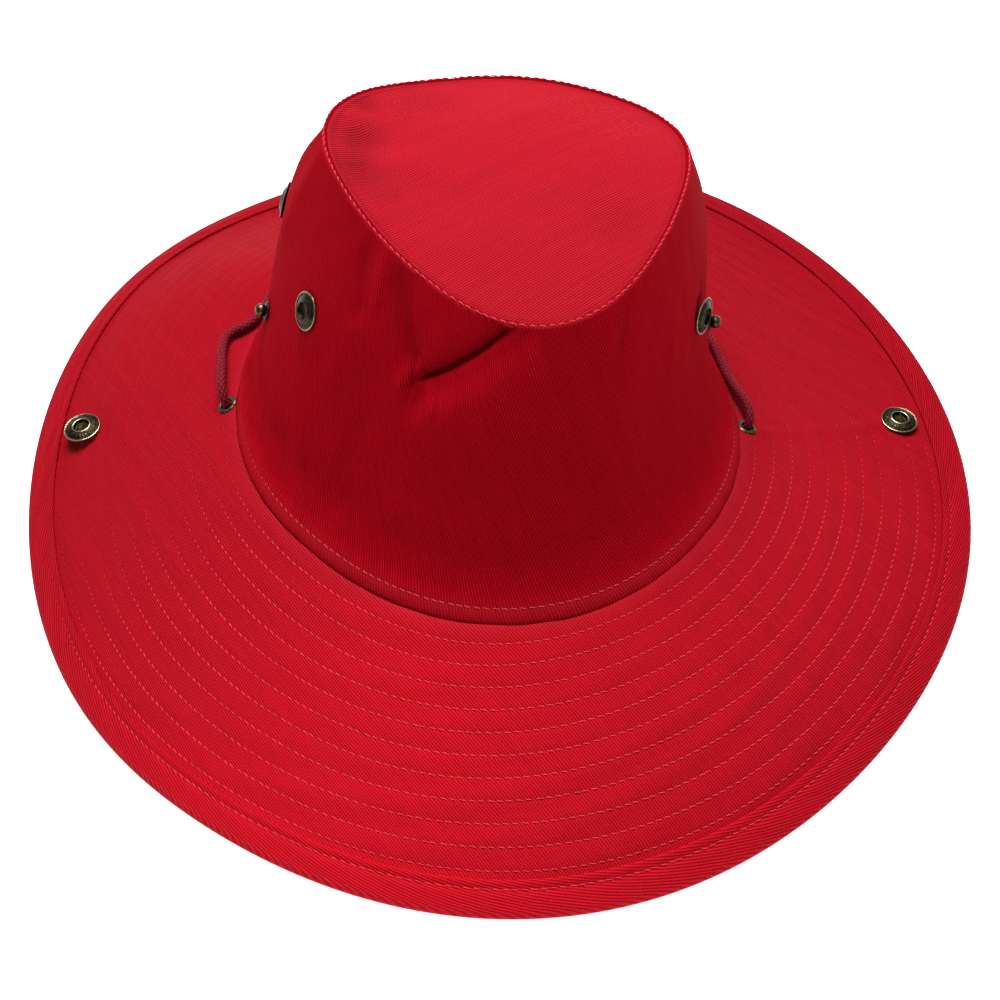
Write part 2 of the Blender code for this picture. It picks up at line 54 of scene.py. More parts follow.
def turned_away(angle, middle):
    """Angle from the middle, at most half a turn either way."""
    return np.mod(angle - middle + math.pi, TURN) - math.pi


def unit(vectors):
    """The same directions, of length one."""
    return vectors / np.linalg.norm(vectors, axis=-1, keepdims=True)


# Sizes and tables of the hat, as in the part's source, but for the studs' smaller flange and larger ball
CROWN_HALF_WIDTH = 0.0829
CROWN_HALF_DEPTH = 0.1014
CROWN_HEIGHT = 0.0901
TOP_HALF_WIDTH = 0.055
TOP_HALF_DEPTH = 0.060
TOP_SHIFT_RIGHT = 0.0074
TOP_SHIFT_BACK = 0.0048
TOP_TWIST = math.radians(8.7)
TOP_DOME = 0.004
WALL_CLOTH = 0.0015
PANEL_CLOTH = 0.0014
FOOT_TUCK = 0.0016
BRIM_WIDTH = 0.0884
BASE_LIFT = 0.0382
BRIM_CLOTH = 0.0014
BINDING_WIDTH = 0.0112
BINDING_CLOTH = 0.001
REST_FLAT = 0.0006
SNAP_RADIUS = 0.0066
CROWN_SNAP_RADIUS = 0.0062
SNAP_WELL_RADIUS = 0.0034
SNAP_HEIGHT = 0.0016
STUD_FLANGE_RADIUS = 0.0032
STUD_POST_RADIUS = 0.0014
STUD_HEAD_RADIUS = 0.0022
STUD_LENGTH = 0.0040
WASHER_RADIUS = 0.0040
METAL = 0.0006
CORD_RADIUS = 0.0016
EYELET_HOLE_RADIUS = 0.0021
EYELET_BARREL = 0.0004
EYELET_FLANGE = 0.0011
SNAP_FROM_BINDING = 0.0035
GAP = 0.0003
BRIM_STEPS = 80

# One row for every 30 degrees, counted from the viewer's right towards the back
BRIM_SECTIONS = named_rows("reach base rim bend", [
    (0.999, 0.72, 0.052, -0.30),
    (0.989, 0.65, 0.044, -0.46),
    (1.008, 0.75, 0.028, -0.34),
    (1.015, 0.97, 0.023, -0.14),
    (0.989, 1.12, 0.072, -0.32),
    (0.992, 1.18, 0.126, 0.50),
    (1.024, 1.11, 0.041, 0.10),
    (1.001, 1.11, 0.053, -0.24),
    (0.971, 1.10, 0.165, -0.60),
    (1.020, 1.21, 0.087, 0.03),
    (1.014, 1.15, 0.012, 0.42),
    (0.997, 0.95, 0.049, 0.10),
])
CROWN_SECTIONS = named_rows("reach rise belly lean", [
    (1.006, 0.972, -0.026, -0.028),
    (1.094, 0.915, 0.052, -0.044),
    (1.017, 0.926, 0.073, -0.028),
    (1.028, 0.935, 0.067, -0.025),
    (1.050, 1.001, 0.074, -0.026),
    (1.090, 1.094, 0.053, -0.028),
    (0.995, 1.102, 0.025, -0.010),
    (0.922, 1.040, 0.004, -0.019),
    (0.990, 0.986, -0.017, -0.018),
    (1.094, 0.961, -0.028, -0.021),
    (0.992, 0.987, -0.051, -0.027),
    (0.920, 0.991, -0.048, -0.029),
])

# Soft lines of the crown wall: degrees and shares of its height; wide and out are shares of CROWN_HEIGHT
WALL_FOLDS = named_rows("angle up to_angle to_up wide out", [
    (262, 0.99, 238, 0.68, 0.060, -0.030),
    (256, 0.74, 248, 0.64, 0.170, 0.030),
    (264, 0.97, 267, 0.82, 0.045, 0.012),
    (235, 0.72, 233, 0.68, 0.040, 0.012),
    (171, 0.94, 171, 0.70, 0.070, 0.018),
    (153, 0.98, 146, 0.80, 0.060, -0.030),
    (292, 0.90, 300, 0.45, 0.120, 0.014),
    (222, 0.60, 226, 0.22, 0.110, -0.014),
])
TOP_DENTS = named_rows("angle along wide down", [
    (165, 0.72, 0.30, 0.022),
    (205, 0.60, 0.25, 0.014),
    (315, 0.55, 0.40, 0.010),
])

# Metal parts: degrees, share of the wall's height or millimetres from the seam, and degrees of lean
STUDS = named_rows("name angle up lean", [
    ("snap_stud_left", 177.8, 0.378, 0),
    ("snap_stud_right", 1.2, 0.38, 11),
])
CROWN_SNAPS = named_rows("name angle up lean", [
    ("crown_snap_front_left", 196.2, 0.628, 0),
    ("crown_snap_front_right", 342.4, 0.575, 14),
    ("crown_snap_back_left", 156.5, 0.60, 0),
    ("crown_snap_back_right", 24, 0.54, 0),
])
BRIM_SNAPS = named_rows("name angle lean", [
    ("snap_socket_left", 176.6, 21),
    ("snap_socket_right", 3.7, 8),
])
EYELETS = named_rows("name angle along", [
    ("eyelet_left", 181.3, 5.5),
    ("eyelet_right", -3.9, 4.8),
])

# Chin cord on the brim: degrees, millimetres from the base seam, millimetres above the brim's middle
CORD_ON_BRIM = [
    (-3.9, 4.8, -7), (-3.9, 4.8, 0), (-3.55, 4.7, 3.0), (-2.4, 4.3, 5.0), (-0.6, 3.6, 5.8), (1.8, 2.8, 5.5),
    (5.1, 2.1, 4.4), (9.3, 1.8, 3.4), (13, 2.1, 3.0), (20, 3.6, 3.0), (35, 5.2, 3.0), (60, 5.2, 3.2),
    (90, 5.0, 3.4), (120, 5.2, 3.2), (145, 4.2, 3.1), (155, 2.7, 3.0), (160.5, 3.1, 3.0), (162.8, 6.0, 3.0),
    (163.9, 9.4, 3.0), (165.5, 11.4, 3.4), (167.9, 10.7, 4.2), (170.8, 9.0, 5.0), (173.6, 7.1, 5.9),
    (176, 6.0, 6.2), (178.1, 5.4, 6.1), (179.7, 5.3, 5.3), (180.85, 5.4, 3.3), (181.3, 5.5, 0.45),
]
# The chin loop on the ground under the hat, millimetres
CORD_BELOW = [
    (-91, -4, 24), (-94, -10, 12), (-100, -21, 4.6), (-107, -38, 2.3), (-113, -64, 2.0), (-103, -99, 2.0),
    (-67, -132, 2.0), (0, -146, 2.0), (65, -131, 2.0), (101, -96, 2.0), (108, -62, 2.0), (101, -36, 2.5),
    (92, -20, 5.5), (85, -11, 12),
]

# Sewing: rows of stitches on the brim and the other seams
ROWS = 12
ROW_FIRST = 0.0008
ROW_PITCH = 0.00675
STITCH = 0.0028
THREAD = 0.00020
HEM_ROW = 0.0030
FOOT_ROW = 0.0030

# Beads on the brim's snaps: how many, the ring's radius, and their width and height
BEADS = 26
BEAD_RING = 0.0048
BEAD_WIDTH = 0.0006
BEAD_HEIGHT = 0.0002

# Groove of a row of stitches on the brim
GROOVE = 0.00020
GROOVE_WIDTH = 0.00075

# Twill: distance between wales and length of a float
WALE = 0.00083
FLOAT = 0.00078

# Fineness of the meshes: steps round the hat, across the brim and the panel, and along the cord
WALL_STEPS = 440
BRIM_ROUNDS = 420
BRIM_ROWS = 112
HEM_STEPS = 900
SEAM_STEPS = 1200
PANEL_STEPS = 150
CORD_STEPS = 1900
CORD_SIDES = 18

# Painted shade on the brim's red: none in front, more at the sides and most behind, as the light falls on it
LIT_FRONT = math.radians(268)
LIT_SPREAD = math.radians(46)
SIDE_PAINTED_SHADE = 0.56
BACK_SHADE_ANGLE = math.radians(75)
BACK_PAINTED_SHADE = 0.16

# Where the rows of stitches show on the cloth: round one angle, to either side of it, with a soft end
ROWS_SHOWN = math.radians(276)
ROWS_REACH = math.radians(62)
ROWS_END = 0.14

# Light: place, size and power of the one lamp, strength of the surround; the floor's half side and glow
LAMP_PLACE = (-0.08, 0.48, 1.45)
LAMP_AIM = (0, 0, 0.05)
LAMP_SIZE = 1.0
LAMP_POWER = 43
SURROUND = 0.16
FLOOR_SIDE = 4.0
FLOOR_GLOW = 1.0

# Camera of the photograph
CAMERA_PLACE = (-0.01601, -0.43739, 0.46387)
CAMERA_AIM = (-0.00081, -0.03687, 0.02515)
CAMERA_ROLL = math.radians(0.077)
CAMERA_LENS = 64.1


def wave(table, name, angle):
    """Smooth closed wave through one column of a table of evenly spaced stations."""
    values = np.array([row[name] for row in table])
    parts = np.fft.rfft(values) / len(values)
    angle = np.asarray(angle, float)
    total = np.full(angle.shape, parts[0].real)
    for turn in range(1, len(parts)):
        weight = 1 if 2 * turn == len(values) else 2
        total = total + weight * (parts[turn] * np.exp(1j * turn * angle)).real
    return total


def base_seam(angle):
    """Where crown and brim meet: an oval whose half sizes and height follow the table."""
    reach = wave(BRIM_SECTIONS, "reach", angle)
    x = CROWN_HALF_WIDTH * reach * np.cos(angle)
    y = CROWN_HALF_DEPTH * reach * np.sin(angle)
    z = BASE_LIFT * wave(BRIM_SECTIONS, "base", angle)
    return np.stack([x, y, z], -1)


def outward(angle):
    """Level direction square to the base seam."""
    step = 0.002
    along = base_seam(angle + step) - base_seam(angle - step)
    flat = np.stack([along[..., 1], -along[..., 0], np.zeros_like(along[..., 0])], -1)
    return unit(flat)


def brim_middle(angle, along):
    """Middle of the brim: from the seam outwards in a level line, dropping to the rim in a bent slope."""
    angle, along = np.broadcast_arrays(np.asarray(angle, float), np.asarray(along, float))
    seam = base_seam(angle)
    drop = seam[..., 2] - BRIM_WIDTH * wave(BRIM_SECTIONS, "rim", angle)
    level = np.sqrt(np.maximum((0.99 * BRIM_WIDTH) ** 2 - drop ** 2, (0.3 * BRIM_WIDTH) ** 2))
    share = along / BRIM_WIDTH
    bend = wave(BRIM_SECTIONS, "bend", angle)
    point = seam + outward(angle) * (level * share)[..., None]
    point[..., 2] -= drop * (share + bend * (share ** 2 - share))
    return point


def brim_normal(angle, along):
    """Unit normal of the brim from its two slopes, pointing up."""
    a = brim_middle(angle + 0.002, along) - brim_middle(angle - 0.002, along)
    b = brim_middle(angle, along + 0.0004) - brim_middle(angle, along - 0.0004)
    return unit(np.cross(b, a))


def brim_point(angle, along, above=0.0):
    """Point of the brim, raised square to its surface."""
    angle, along = np.broadcast_arrays(np.asarray(angle, float), np.asarray(along, float))
    normal = brim_normal(angle, along)
    return brim_middle(angle, along) + normal * np.asarray(above)[..., None]


def top_seam(angle):
    """Edge of the crown: a smaller oval, turned a little, whose reach and rise follow the table."""
    reach = wave(CROWN_SECTIONS, "reach", angle)
    turned = angle + TOP_TWIST
    x = TOP_SHIFT_RIGHT + TOP_HALF_WIDTH * reach * np.cos(turned)
    y = TOP_SHIFT_BACK + TOP_HALF_DEPTH * reach * np.sin(turned)
    z = BASE_LIFT + CROWN_HEIGHT * wave(CROWN_SECTIONS, "rise", angle)
    return np.stack([x, y, z], -1)


def fold_push(angle, up, folds):
    """Sum of soft lines: each one falls off as a bell with the distance from its stretch of the wall."""
    girth = (CROWN_HALF_WIDTH + CROWN_HALF_DEPTH) / 2
    total = np.zeros(np.broadcast(angle, up).shape)
    for fold in folds:
        start = np.array([math.radians(fold["angle"]) * girth, fold["up"] * CROWN_HEIGHT])
        end = np.array([math.radians(fold["to_angle"]) * girth, fold["to_up"] * CROWN_HEIGHT])
        line = end - start
        away_x = (np.mod(angle * girth - start[0] + math.pi * girth, TURN * girth) - math.pi * girth)
        away_y = up * CROWN_HEIGHT - start[1]
        share = np.clip((away_x * line[0] + away_y * line[1]) / (line @ line), 0, 1)
        far = np.hypot(away_x - share * line[0], away_y - share * line[1])
        total = total + fold["out"] * CROWN_HEIGHT * bell(far, fold["wide"] * CROWN_HEIGHT)
    return total * np.sin(np.pi * np.clip(up, 0, 1)) ** 0.4


def wall_middle(angle, up):
    """Middle of the crown wall: straight from seam to seam, plus belly, lean, tucked foot and folds."""
    angle, up = np.broadcast_arrays(np.asarray(angle, float), np.asarray(up, float))
    low, high = base_seam(angle), top_seam(angle)
    share = np.clip(up, 0, 1)
    swell = wave(CROWN_SECTIONS, "belly", angle) * np.sin(np.pi * share)
    swell = swell + wave(CROWN_SECTIONS, "lean", angle) * np.sin(2 * np.pi * share)
    tuck = FOOT_TUCK * bell(share - 0.14, 0.09) * np.clip(share / 0.05, 0, 1)
    push = CROWN_HEIGHT * swell - tuck + fold_push(angle, share, WALL_FOLDS)
    return low + (high - low) * up[..., None] + outward(angle) * push[..., None]


def wall_normal(angle, up):
    """Unit normal of the crown wall from its two slopes, pointing outwards."""
    a = wall_middle(angle + 0.02, up) - wall_middle(angle - 0.02, up)
    b = wall_middle(angle, up + 0.02) - wall_middle(angle, up - 0.02)
    return unit(np.cross(a, b))


def panel_middle(angle, along):
    """Middle of the top panel: rays from its middle to its edge, domed by the square of the share, dented."""
    angle, along = np.broadcast_arrays(np.asarray(angle, float), np.asarray(along, float))
    edge = top_seam(angle)
    middle = np.array([TOP_SHIFT_RIGHT, TOP_SHIFT_BACK, 0.0])
    inset = (WALL_CLOTH / 2 + GAP) * 1.15
    span = edge - middle
    flat = np.linalg.norm(span[..., :2], axis=-1)
    point = middle + span * (along * (1 - inset / flat))[..., None]
    crest = BASE_LIFT + CROWN_HEIGHT * np.mean([row["rise"] for row in CROWN_SECTIONS]) + TOP_DOME
    height = crest + (edge[..., 2] - PANEL_CLOTH / 2 - crest) * along ** 2
    for dent in TOP_DENTS:
        spot = math.radians(dent["angle"])
        x = TOP_SHIFT_RIGHT + TOP_HALF_WIDTH * dent["along"] * math.cos(spot)
        y = TOP_SHIFT_BACK + TOP_HALF_DEPTH * dent["along"] * math.sin(spot)
        far = np.hypot(point[..., 0] - x, point[..., 1] - y) / (dent["wide"] * TOP_HALF_DEPTH)
        height = height - dent["down"] * CROWN_HEIGHT * np.exp(-far ** 2) * (1 - along ** 4)
    point[..., 2] = height
    return point


def ground_and_middle():
    """Shift that sets the rim on the ground, pressed flat by REST_FLAT, and centres its outline."""
    outer = BRIM_CLOTH / 2 + GAP + BINDING_CLOTH
    edge = BRIM_WIDTH - BINDING_WIDTH
    section = np.array([
        (edge, outer), (BRIM_WIDTH - 0.9 * outer, outer), (BRIM_WIDTH - 0.25 * outer, 0.7 * outer),
        (BRIM_WIDTH, 0), (BRIM_WIDTH - 0.2 * outer, -0.7 * outer), (BRIM_WIDTH - 0.6 * outer, -outer),
        (BRIM_WIDTH - 1.2 * outer, -outer), (edge, -outer),
    ])
    angle = np.arange(BRIM_STEPS) * TURN / BRIM_STEPS
    points = brim_point(angle[:, None], section[None, :, 0], section[None, :, 1]).reshape(-1, 3)
    low, high = points.min(0), points.max(0)
    return np.array([-(low[0] + high[0]) / 2, -(low[1] + high[1]) / 2, -low[2] - REST_FLAT])


SHIFT = ground_and_middle()
UPRIGHT = (0, 0, 1)
FORWARDS = (0, -1, 0)


def ripple(first, second, waves, seed):
    """Calm unevenness: a sum of sine waves of random direction and phase, from -1 to 1."""
    rng = np.random.default_rng(seed)
    total = np.zeros(np.broadcast(first, second).shape)
    for low, high in waves:
        for _ in range(5):
            turn, phase = rng.uniform(0, math.pi), rng.uniform(0, TURN)
            size = TURN / rng.uniform(low, high)
            total = total + np.sin(size * (first * math.cos(turn) + second * math.sin(turn)) + phase)
    return total / (5 * len(waves))


def surface_mesh(name, points, cloth_uv, across_closed=False, keep=None, marks=None):
    """Mesh through a grid of points closed round the hat; cloth_uv has one more row for the wrap."""
    rounds, across = points.shape[:2]
    i = np.arange(rounds)[:, None]
    j = np.arange(across if across_closed else across - 1)[None]
    i2, j2 = (i + 1) % rounds, (j + 1) % across
    here, beside = i * across, i2 * across
    quads = np.stack([here + j, beside + j, beside + j2, here + j2], -1).reshape(-1, 4)
    corner = np.stack([cloth_uv[i, j], cloth_uv[i + 1, j], cloth_uv[i + 1, j + 1], cloth_uv[i, j + 1]], 2)
    corner = corner.reshape(-1, 4, 2)
    flat = points.reshape(-1, 3)
    if keep is not None:
        inside = keep.reshape(-1)[quads].any(1)
        quads, corner = quads[inside], corner[inside]
        used, quads = np.unique(quads, return_inverse=True)
        quads = quads.reshape(-1, 4)
        flat = flat[used]
        marks = {key: value.reshape(-1)[used] for key, value in (marks or {}).items()}
    return mesh_from(name, flat, quads, corner, marks)


def mesh_from(name, flat, quads, corner=None, marks=None):
    """Blender mesh from arrays of points, faces of one size, their cloth coordinates and named marks."""
    mesh = bpy.data.meshes.new(name)
    mesh.vertices.add(len(flat))
    mesh.vertices.foreach_set("co", np.ascontiguousarray(flat, np.float32).reshape(-1))
    mesh.loops.add(quads.size)
    mesh.loops.foreach_set("vertex_index", quads.reshape(-1).astype(np.int32))
    mesh.polygons.add(len(quads))
    mesh.polygons.foreach_set("loop_start", np.arange(0, quads.size, quads.shape[1], dtype=np.int32))
    mesh.update(calc_edges=True)
    if corner is not None:
        layer = mesh.uv_layers.new(name="cloth")
        layer.data.foreach_set("uv", corner.reshape(-1).astype(np.float32))
    for key, value in (marks or {}).items():
        mark = mesh.attributes.new(key, "FLOAT", "POINT")
        mark.data.foreach_set("value", np.asarray(value, np.float32).reshape(-1))
    mesh.validate()
    mesh.shade_smooth()
    return mesh


def add_piece(name, mesh, material, node=None):
    """Puts a finished mesh into the scene as a piece of the hat."""
    piece = bpy.data.objects.new(name, mesh)
    bpy.context.scene.collection.objects.link(piece)
    mesh.materials.append(material)
    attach(piece, "root")
    if node:
        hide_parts(node)
    return piece


def add_cloth(piece, thickness):
    """Gives an open surface its thickness, half on either side."""
    solid = piece.modifiers.new("cloth", "SOLIDIFY")
    solid.thickness = thickness
    solid.offset = 0


class Graph:
    """Short way to write a material's nodes."""

    def __init__(self, name):
        self.material = bpy.data.materials.new(name)
        self.material.use_nodes = True
        self.tree = self.material.node_tree
        self.shader = self.tree.nodes["Principled BSDF"]

    def put(self, target, value):
        if isinstance(value, bpy.types.NodeSocket):
            self.tree.links.new(value, target)
        else:
            target.default_value = value

    def node(self, kind, sockets, **settings):
        made = self.tree.nodes.new(kind)
        for key, value in settings.items():
            setattr(made, key, value)
        for key, value in sockets.items():
            self.put(made.inputs[key], value)
        return made

    def math(self, operation, first, second=0.0, third=0.0):
        return self.node("ShaderNodeMath", {0: first, 1: second, 2: third}, operation=operation).outputs[0]

    def mix(self, share, first, second, blend="MIX"):
        made = self.node("ShaderNodeMix", {0: share}, data_type="RGBA", blend_type=blend)
        self.put(made.inputs[6], first)
        self.put(made.inputs[7], second)
        return made.outputs[2]

    def noise(self, place, scale, detail=2.0, rough=0.5):
        sockets = {"Vector": place, "Scale": scale, "Detail": detail, "Roughness": rough}
        return self.node("ShaderNodeTexNoise", sockets).outputs["Fac"]

    def range(self, value, low, high, to_low=0.0, to_high=1.0):
        sockets = {"Value": value, "From Min": low, "From Max": high, "To Min": to_low, "To Max": to_high}
        return self.node("ShaderNodeMapRange", sockets).outputs[0]

    def cloth(self):
        return self.node("ShaderNodeUVMap", {}, uv_map="cloth").outputs[0]

    def place(self):
        return self.node("ShaderNodeTexCoord", {}).outputs["Object"]

    def scaled(self, place, scale):
        return self.node("ShaderNodeMapping", {"Vector": place, "Scale": scale}).outputs[0]

    def finish(self, inputs):
        for key, value in inputs.items():
            self.put(self.shader.inputs[key], value)

    def mark(self, name):
        return self.node("ShaderNodeAttribute", {}, attribute_name=name).outputs["Fac"]

    def bump(self, height, strength, distance):
        made = self.node("ShaderNodeBump", {"Height": height, "Strength": strength, "Distance": distance})
        self.tree.links.new(made.outputs[0], self.shader.inputs["Normal"])


def twill(name, wale_turn, fuzz, valley, crest, wear_and_painted_light):
    """Cotton twill: slanting wales of short floats, yarns that differ a little, fuzz, rubbed wear and painted
    highlights from one mark, and painted shade in the weave's valleys and from another mark.
    """
    g = Graph(name)
    cloth = g.cloth()
    turned = g.node("ShaderNodeMapping", {"Vector": cloth, "Rotation": (0, 0, wale_turn)}).outputs[0]
    parts = g.node("ShaderNodeSeparateXYZ", {0: turned}).outputs
    sway = g.noise(cloth, 0.09, 2.0)
    across = g.math("MULTIPLY_ADD", sway, 0.8, g.math("DIVIDE", parts[0], WALE * 1000))
    wale = g.math("MULTIPLY_ADD", g.math("COSINE", g.math("MULTIPLY", across, TURN)), 0.5, 0.5)
    wale = g.math("POWER", wale, 0.8)
    number = g.node("ShaderNodeTexWhiteNoise", {"W": g.math("FLOOR", g.math("ADD", across, 0.5))},
                    noise_dimensions="1D").outputs[0]
    run = g.math("MULTIPLY_ADD", across, 0.5, g.math("DIVIDE", parts[1], FLOAT * 1000))
    floats = g.math("MULTIPLY_ADD", g.math("COSINE", g.math("MULTIPLY", run, TURN)), 0.5, 0.5)
    grain = g.noise(cloth, 2.6, 3.0, 0.7)
    slub = g.noise(g.scaled(turned, (0.9, 0.12, 1)), 1.0, 2.0)
    height = g.math("MULTIPLY_ADD", floats, g.math("MULTIPLY", wale, 0.28), g.math("MULTIPLY", wale, 0.62))
    height = g.math("MULTIPLY_ADD", grain, 0.35, height)
    # Lightness: the yarns' own tone from grain, wale number and slub, plus painted shade that darkens the
    # weave's valleys and lightens its crests by their height.
    light = g.math("MULTIPLY_ADD", grain, 0.9, g.math("MULTIPLY_ADD", height, 0.85, -0.45))
    light = g.math("MULTIPLY_ADD", number, 0.08, light)
    light = g.math("MULTIPLY_ADD", slub, 0.12, g.math("SUBTRACT", light, 0.045))
    color = g.mix(g.range(light, 0.0, 1.0), (*valley, 1), (*crest, 1))
    speck = g.range(g.noise(cloth, 1.15, 4.0, 0.75), 0.64, 0.77)
    # The pale colour rises with the yarn's own specks and with the mark: rubbed wear, and painted highlight
    # along seam crests and next to the base seam.
    lift = g.math("MAXIMUM", g.math("MULTIPLY", speck, 0.5), g.mark("wear_and_painted_light"))
    color = g.mix(lift, color, (*wear_and_painted_light, 1))
    # Painted shade: the mark darkens the red towards a dark purple, more in the weave's valleys.
    painted_shade = g.math("MULTIPLY", g.mark("painted_shade"), g.range(light, 0.0, 1.0, 1.4, 0.5))
    color = g.mix(painted_shade, color, (0.22, 0.05, 0.3, 1), "MULTIPLY")
    g.finish({"Base Color": color, "Roughness": 0.85, "Specular IOR Level": 1.4 * fuzz,
              "Sheen Weight": fuzz, "Sheen Roughness": 0.5, "Sheen Tint": (1.0, 0.2, 0.25, 1)})
    g.bump(height, 0.75, 0.00028)
    return g.material


def sewing_thread(name, color):
    """Twisted sewing thread."""
    g = Graph(name)
    place = g.place()
    twist = g.noise(place, 2600.0, 2.0)
    shade = g.mix(g.range(twist, 0.3, 0.7), (*[0.6 * c for c in color], 1), (*color, 1))
    g.finish({"Base Color": shade, "Roughness": 0.6, "Specular IOR Level": 0.25})
    g.bump(twist, 0.4, 0.0001)
    return g.material


def braid_material(name):
    """Round braid: two families of strands wind round the cord and pass over each other by turns."""
    g = Graph(name)
    place = g.cloth()
    parts = g.node("ShaderNodeSeparateXYZ", {0: place}).outputs
    around, along = g.math("MULTIPLY", parts[1], 0.6), g.math("DIVIDE", parts[0], 2.1)
    first, second = g.math("ADD", around, along), g.math("SUBTRACT", around, along)
    first, second = g.math("MULTIPLY", first, math.pi), g.math("MULTIPLY", second, math.pi)
    over = g.math("MULTIPLY", g.math("COSINE", first), g.math("COSINE", second))
    over = g.math("MULTIPLY_ADD", over, 0.25, 0.75)
    one, other = (g.math("ABSOLUTE", g.math("SINE", strand)) for strand in (first, second))
    height = g.math("MULTIPLY", g.math("MULTIPLY", one, other), over)
    fibre = g.noise(g.scaled(place, (3.0, 8.0, 1)), 1.0, 3.0, 0.6)
    # Painted shade and painted highlight: the colour runs from dark in the grooves between strands to light
    # specks on their tops, by the strands' height, with fibre noise.
    share = g.math("MULTIPLY_ADD", fibre, 0.35, g.math("MULTIPLY_ADD", height, 1.5, -0.3))
    color = g.mix(g.range(share, 0.0, 0.75), (0.085, 0.0012, 0.005, 1), (0.20, 0.0042, 0.016, 1))
    color = g.mix(g.range(share, 0.72, 1.1), color, (0.31, 0.018, 0.036, 1))
    g.finish({"Base Color": color, "Roughness": 0.7, "Specular IOR Level": 0.12})
    g.bump(height, 0.8, 0.0003)
    return g.material


def antique_bronze(name):
    """Antique bronze: dark patina in the low places, rubbed bright on the edges."""
    g = Graph(name)
    place = g.place()
    cloudy = g.noise(place, 900.0, 4.0, 0.6)
    fine = g.noise(place, 4200.0, 3.0, 0.6)
    wear_and_painted_light = g.math("MULTIPLY_ADD", g.math("SUBTRACT", cloudy, 0.5), 0.7, g.mark("wear_and_painted_light"))
    color = g.mix(g.range(cloudy, 0.35, 0.7), (0.009, 0.007, 0.004, 1), (0.052, 0.040, 0.020, 1))
    color = g.mix(g.range(wear_and_painted_light, 0.25, 0.85), color, (0.46, 0.38, 0.23, 1))
    g.finish({"Base Color": color, "Roughness": g.range(wear_and_painted_light, 0.1, 0.9, 0.5, 0.26), "Metallic": 1.0})
    g.bump(fine, 0.35, 0.00006)
    return g.material


def wall_angles(count):
    """Angles round the crown, closer together at the front left where the folds are, with the wrap behind."""
    turn = math.radians(90) + np.arange(count + 1) * TURN / count
    return turn - 0.5 * np.sin(turn - math.radians(246)) + 0.5 * np.sin(math.radians(90 - 246))


# Finer lines of the wall that the CAD leaves out
WALL_CREASES = named_rows("angle up to_angle to_up wide out", [
    (221, 0.95, 231, 0.80, 0.060, -0.026),
    (213, 0.97, 217, 0.86, 0.035, 0.014),
    (206, 0.93, 212, 0.80, 0.050, -0.012),
    (264, 0.93, 266, 0.85, 0.018, 0.006),
    (287, 0.99, 286, 0.88, 0.035, 0.009),
    (293, 0.97, 291, 0.84, 0.035, -0.009),
    (158, 0.99, 150, 0.84, 0.020, -0.010),
    (316, 0.80, 322, 0.35, 0.050, 0.004),
    (278, 0.55, 290, 0.25, 0.060, -0.004),
    (234, 0.78, 235, 0.69, 0.022, -0.012),
    (240, 0.70, 243, 0.66, 0.025, 0.010),
])
# The sharp fold under the front of the top seam: its line, and its depth, groove, fading and edge in metres
FOLD_START = (259.0, 0.985)
FOLD_END = (237.0, 0.70)
FOLD_DEPTH = 0.0030
FOLD_GROOVE = 0.0014
FOLD_FADE = 0.0045
FOLD_EDGE = 0.00040


def fold_place(angle, up):
    """Distance above the fold's line in metres, and how much of the fold is left there towards its ends."""
    girth = 0.078
    start = np.array([math.radians(FOLD_START[0]) * girth, FOLD_START[1] * CROWN_HEIGHT])
    line = np.array([math.radians(FOLD_END[0]) * girth, FOLD_END[1] * CROWN_HEIGHT]) - start
    size = np.linalg.norm(line)
    x, y = np.mod(angle, TURN) * girth - start[0], up * CROWN_HEIGHT - start[1]
    share = (x * line[0] + y * line[1]) / size ** 2
    bow = 0.0010 * np.sin(np.pi * np.clip(share, 0, 1))
    above = (x * line[1] - y * line[0]) / size + bow
    return above, 1 / (1 + np.exp(-(share - 0.03) / 0.03)) / (1 + np.exp((share - 0.98) / 0.035))


def sharp_fold(angle, up):
    """A step along the fold's line, sunk on its upper side with a groove at its root, fading upwards."""
    above, left = fold_place(angle, up)
    step = 1 / (1 + np.exp(-np.clip(above / FOLD_EDGE, -60, 60)))
    drop = -FOLD_DEPTH * step * np.exp(-np.maximum(above, 0) / FOLD_FADE)
    groove = -FOLD_GROOVE * bell(above - 0.0014, 0.0013)
    return (drop + groove) * left


def wall_detail(angle, up):
    """Height of the wall's sewing: flared foot with a stitch groove, creases, the sharp fold and ripples."""
    height = np.linalg.norm(top_seam(angle) - base_seam(angle), axis=-1)
    above_foot = up * height
    push = 0.0010 * np.exp(-(above_foot / 0.0052) ** 4)
    push = push - 0.00022 * bell(above_foot - FOOT_ROW, 0.0008)
    push = push + 0.00035 * ripple(angle * 0.092, up * 0.0901, [(0.02, 0.045), (0.012, 0.02)], 3)
    return push + fold_push(angle, up, WALL_CREASES) + sharp_fold(angle, up)


def wall_surface(angle, up):
    """Middle of the dressed wall: the CAD's middle pushed out by its detail."""
    angle, up = np.broadcast_arrays(np.asarray(angle, float), np.asarray(up, float))
    return wall_middle(angle, up) + wall_normal(angle, up) * wall_detail(angle, up)[..., None]


# How the wall's edge rolls in over the top panel: metres inwards and up
TOP_ROLL = [(0.0001, 0), (0.0003, -0.0001), (0.0005, -0.0003), (0.00065, -0.0007), (0.0007, -0.0012)]


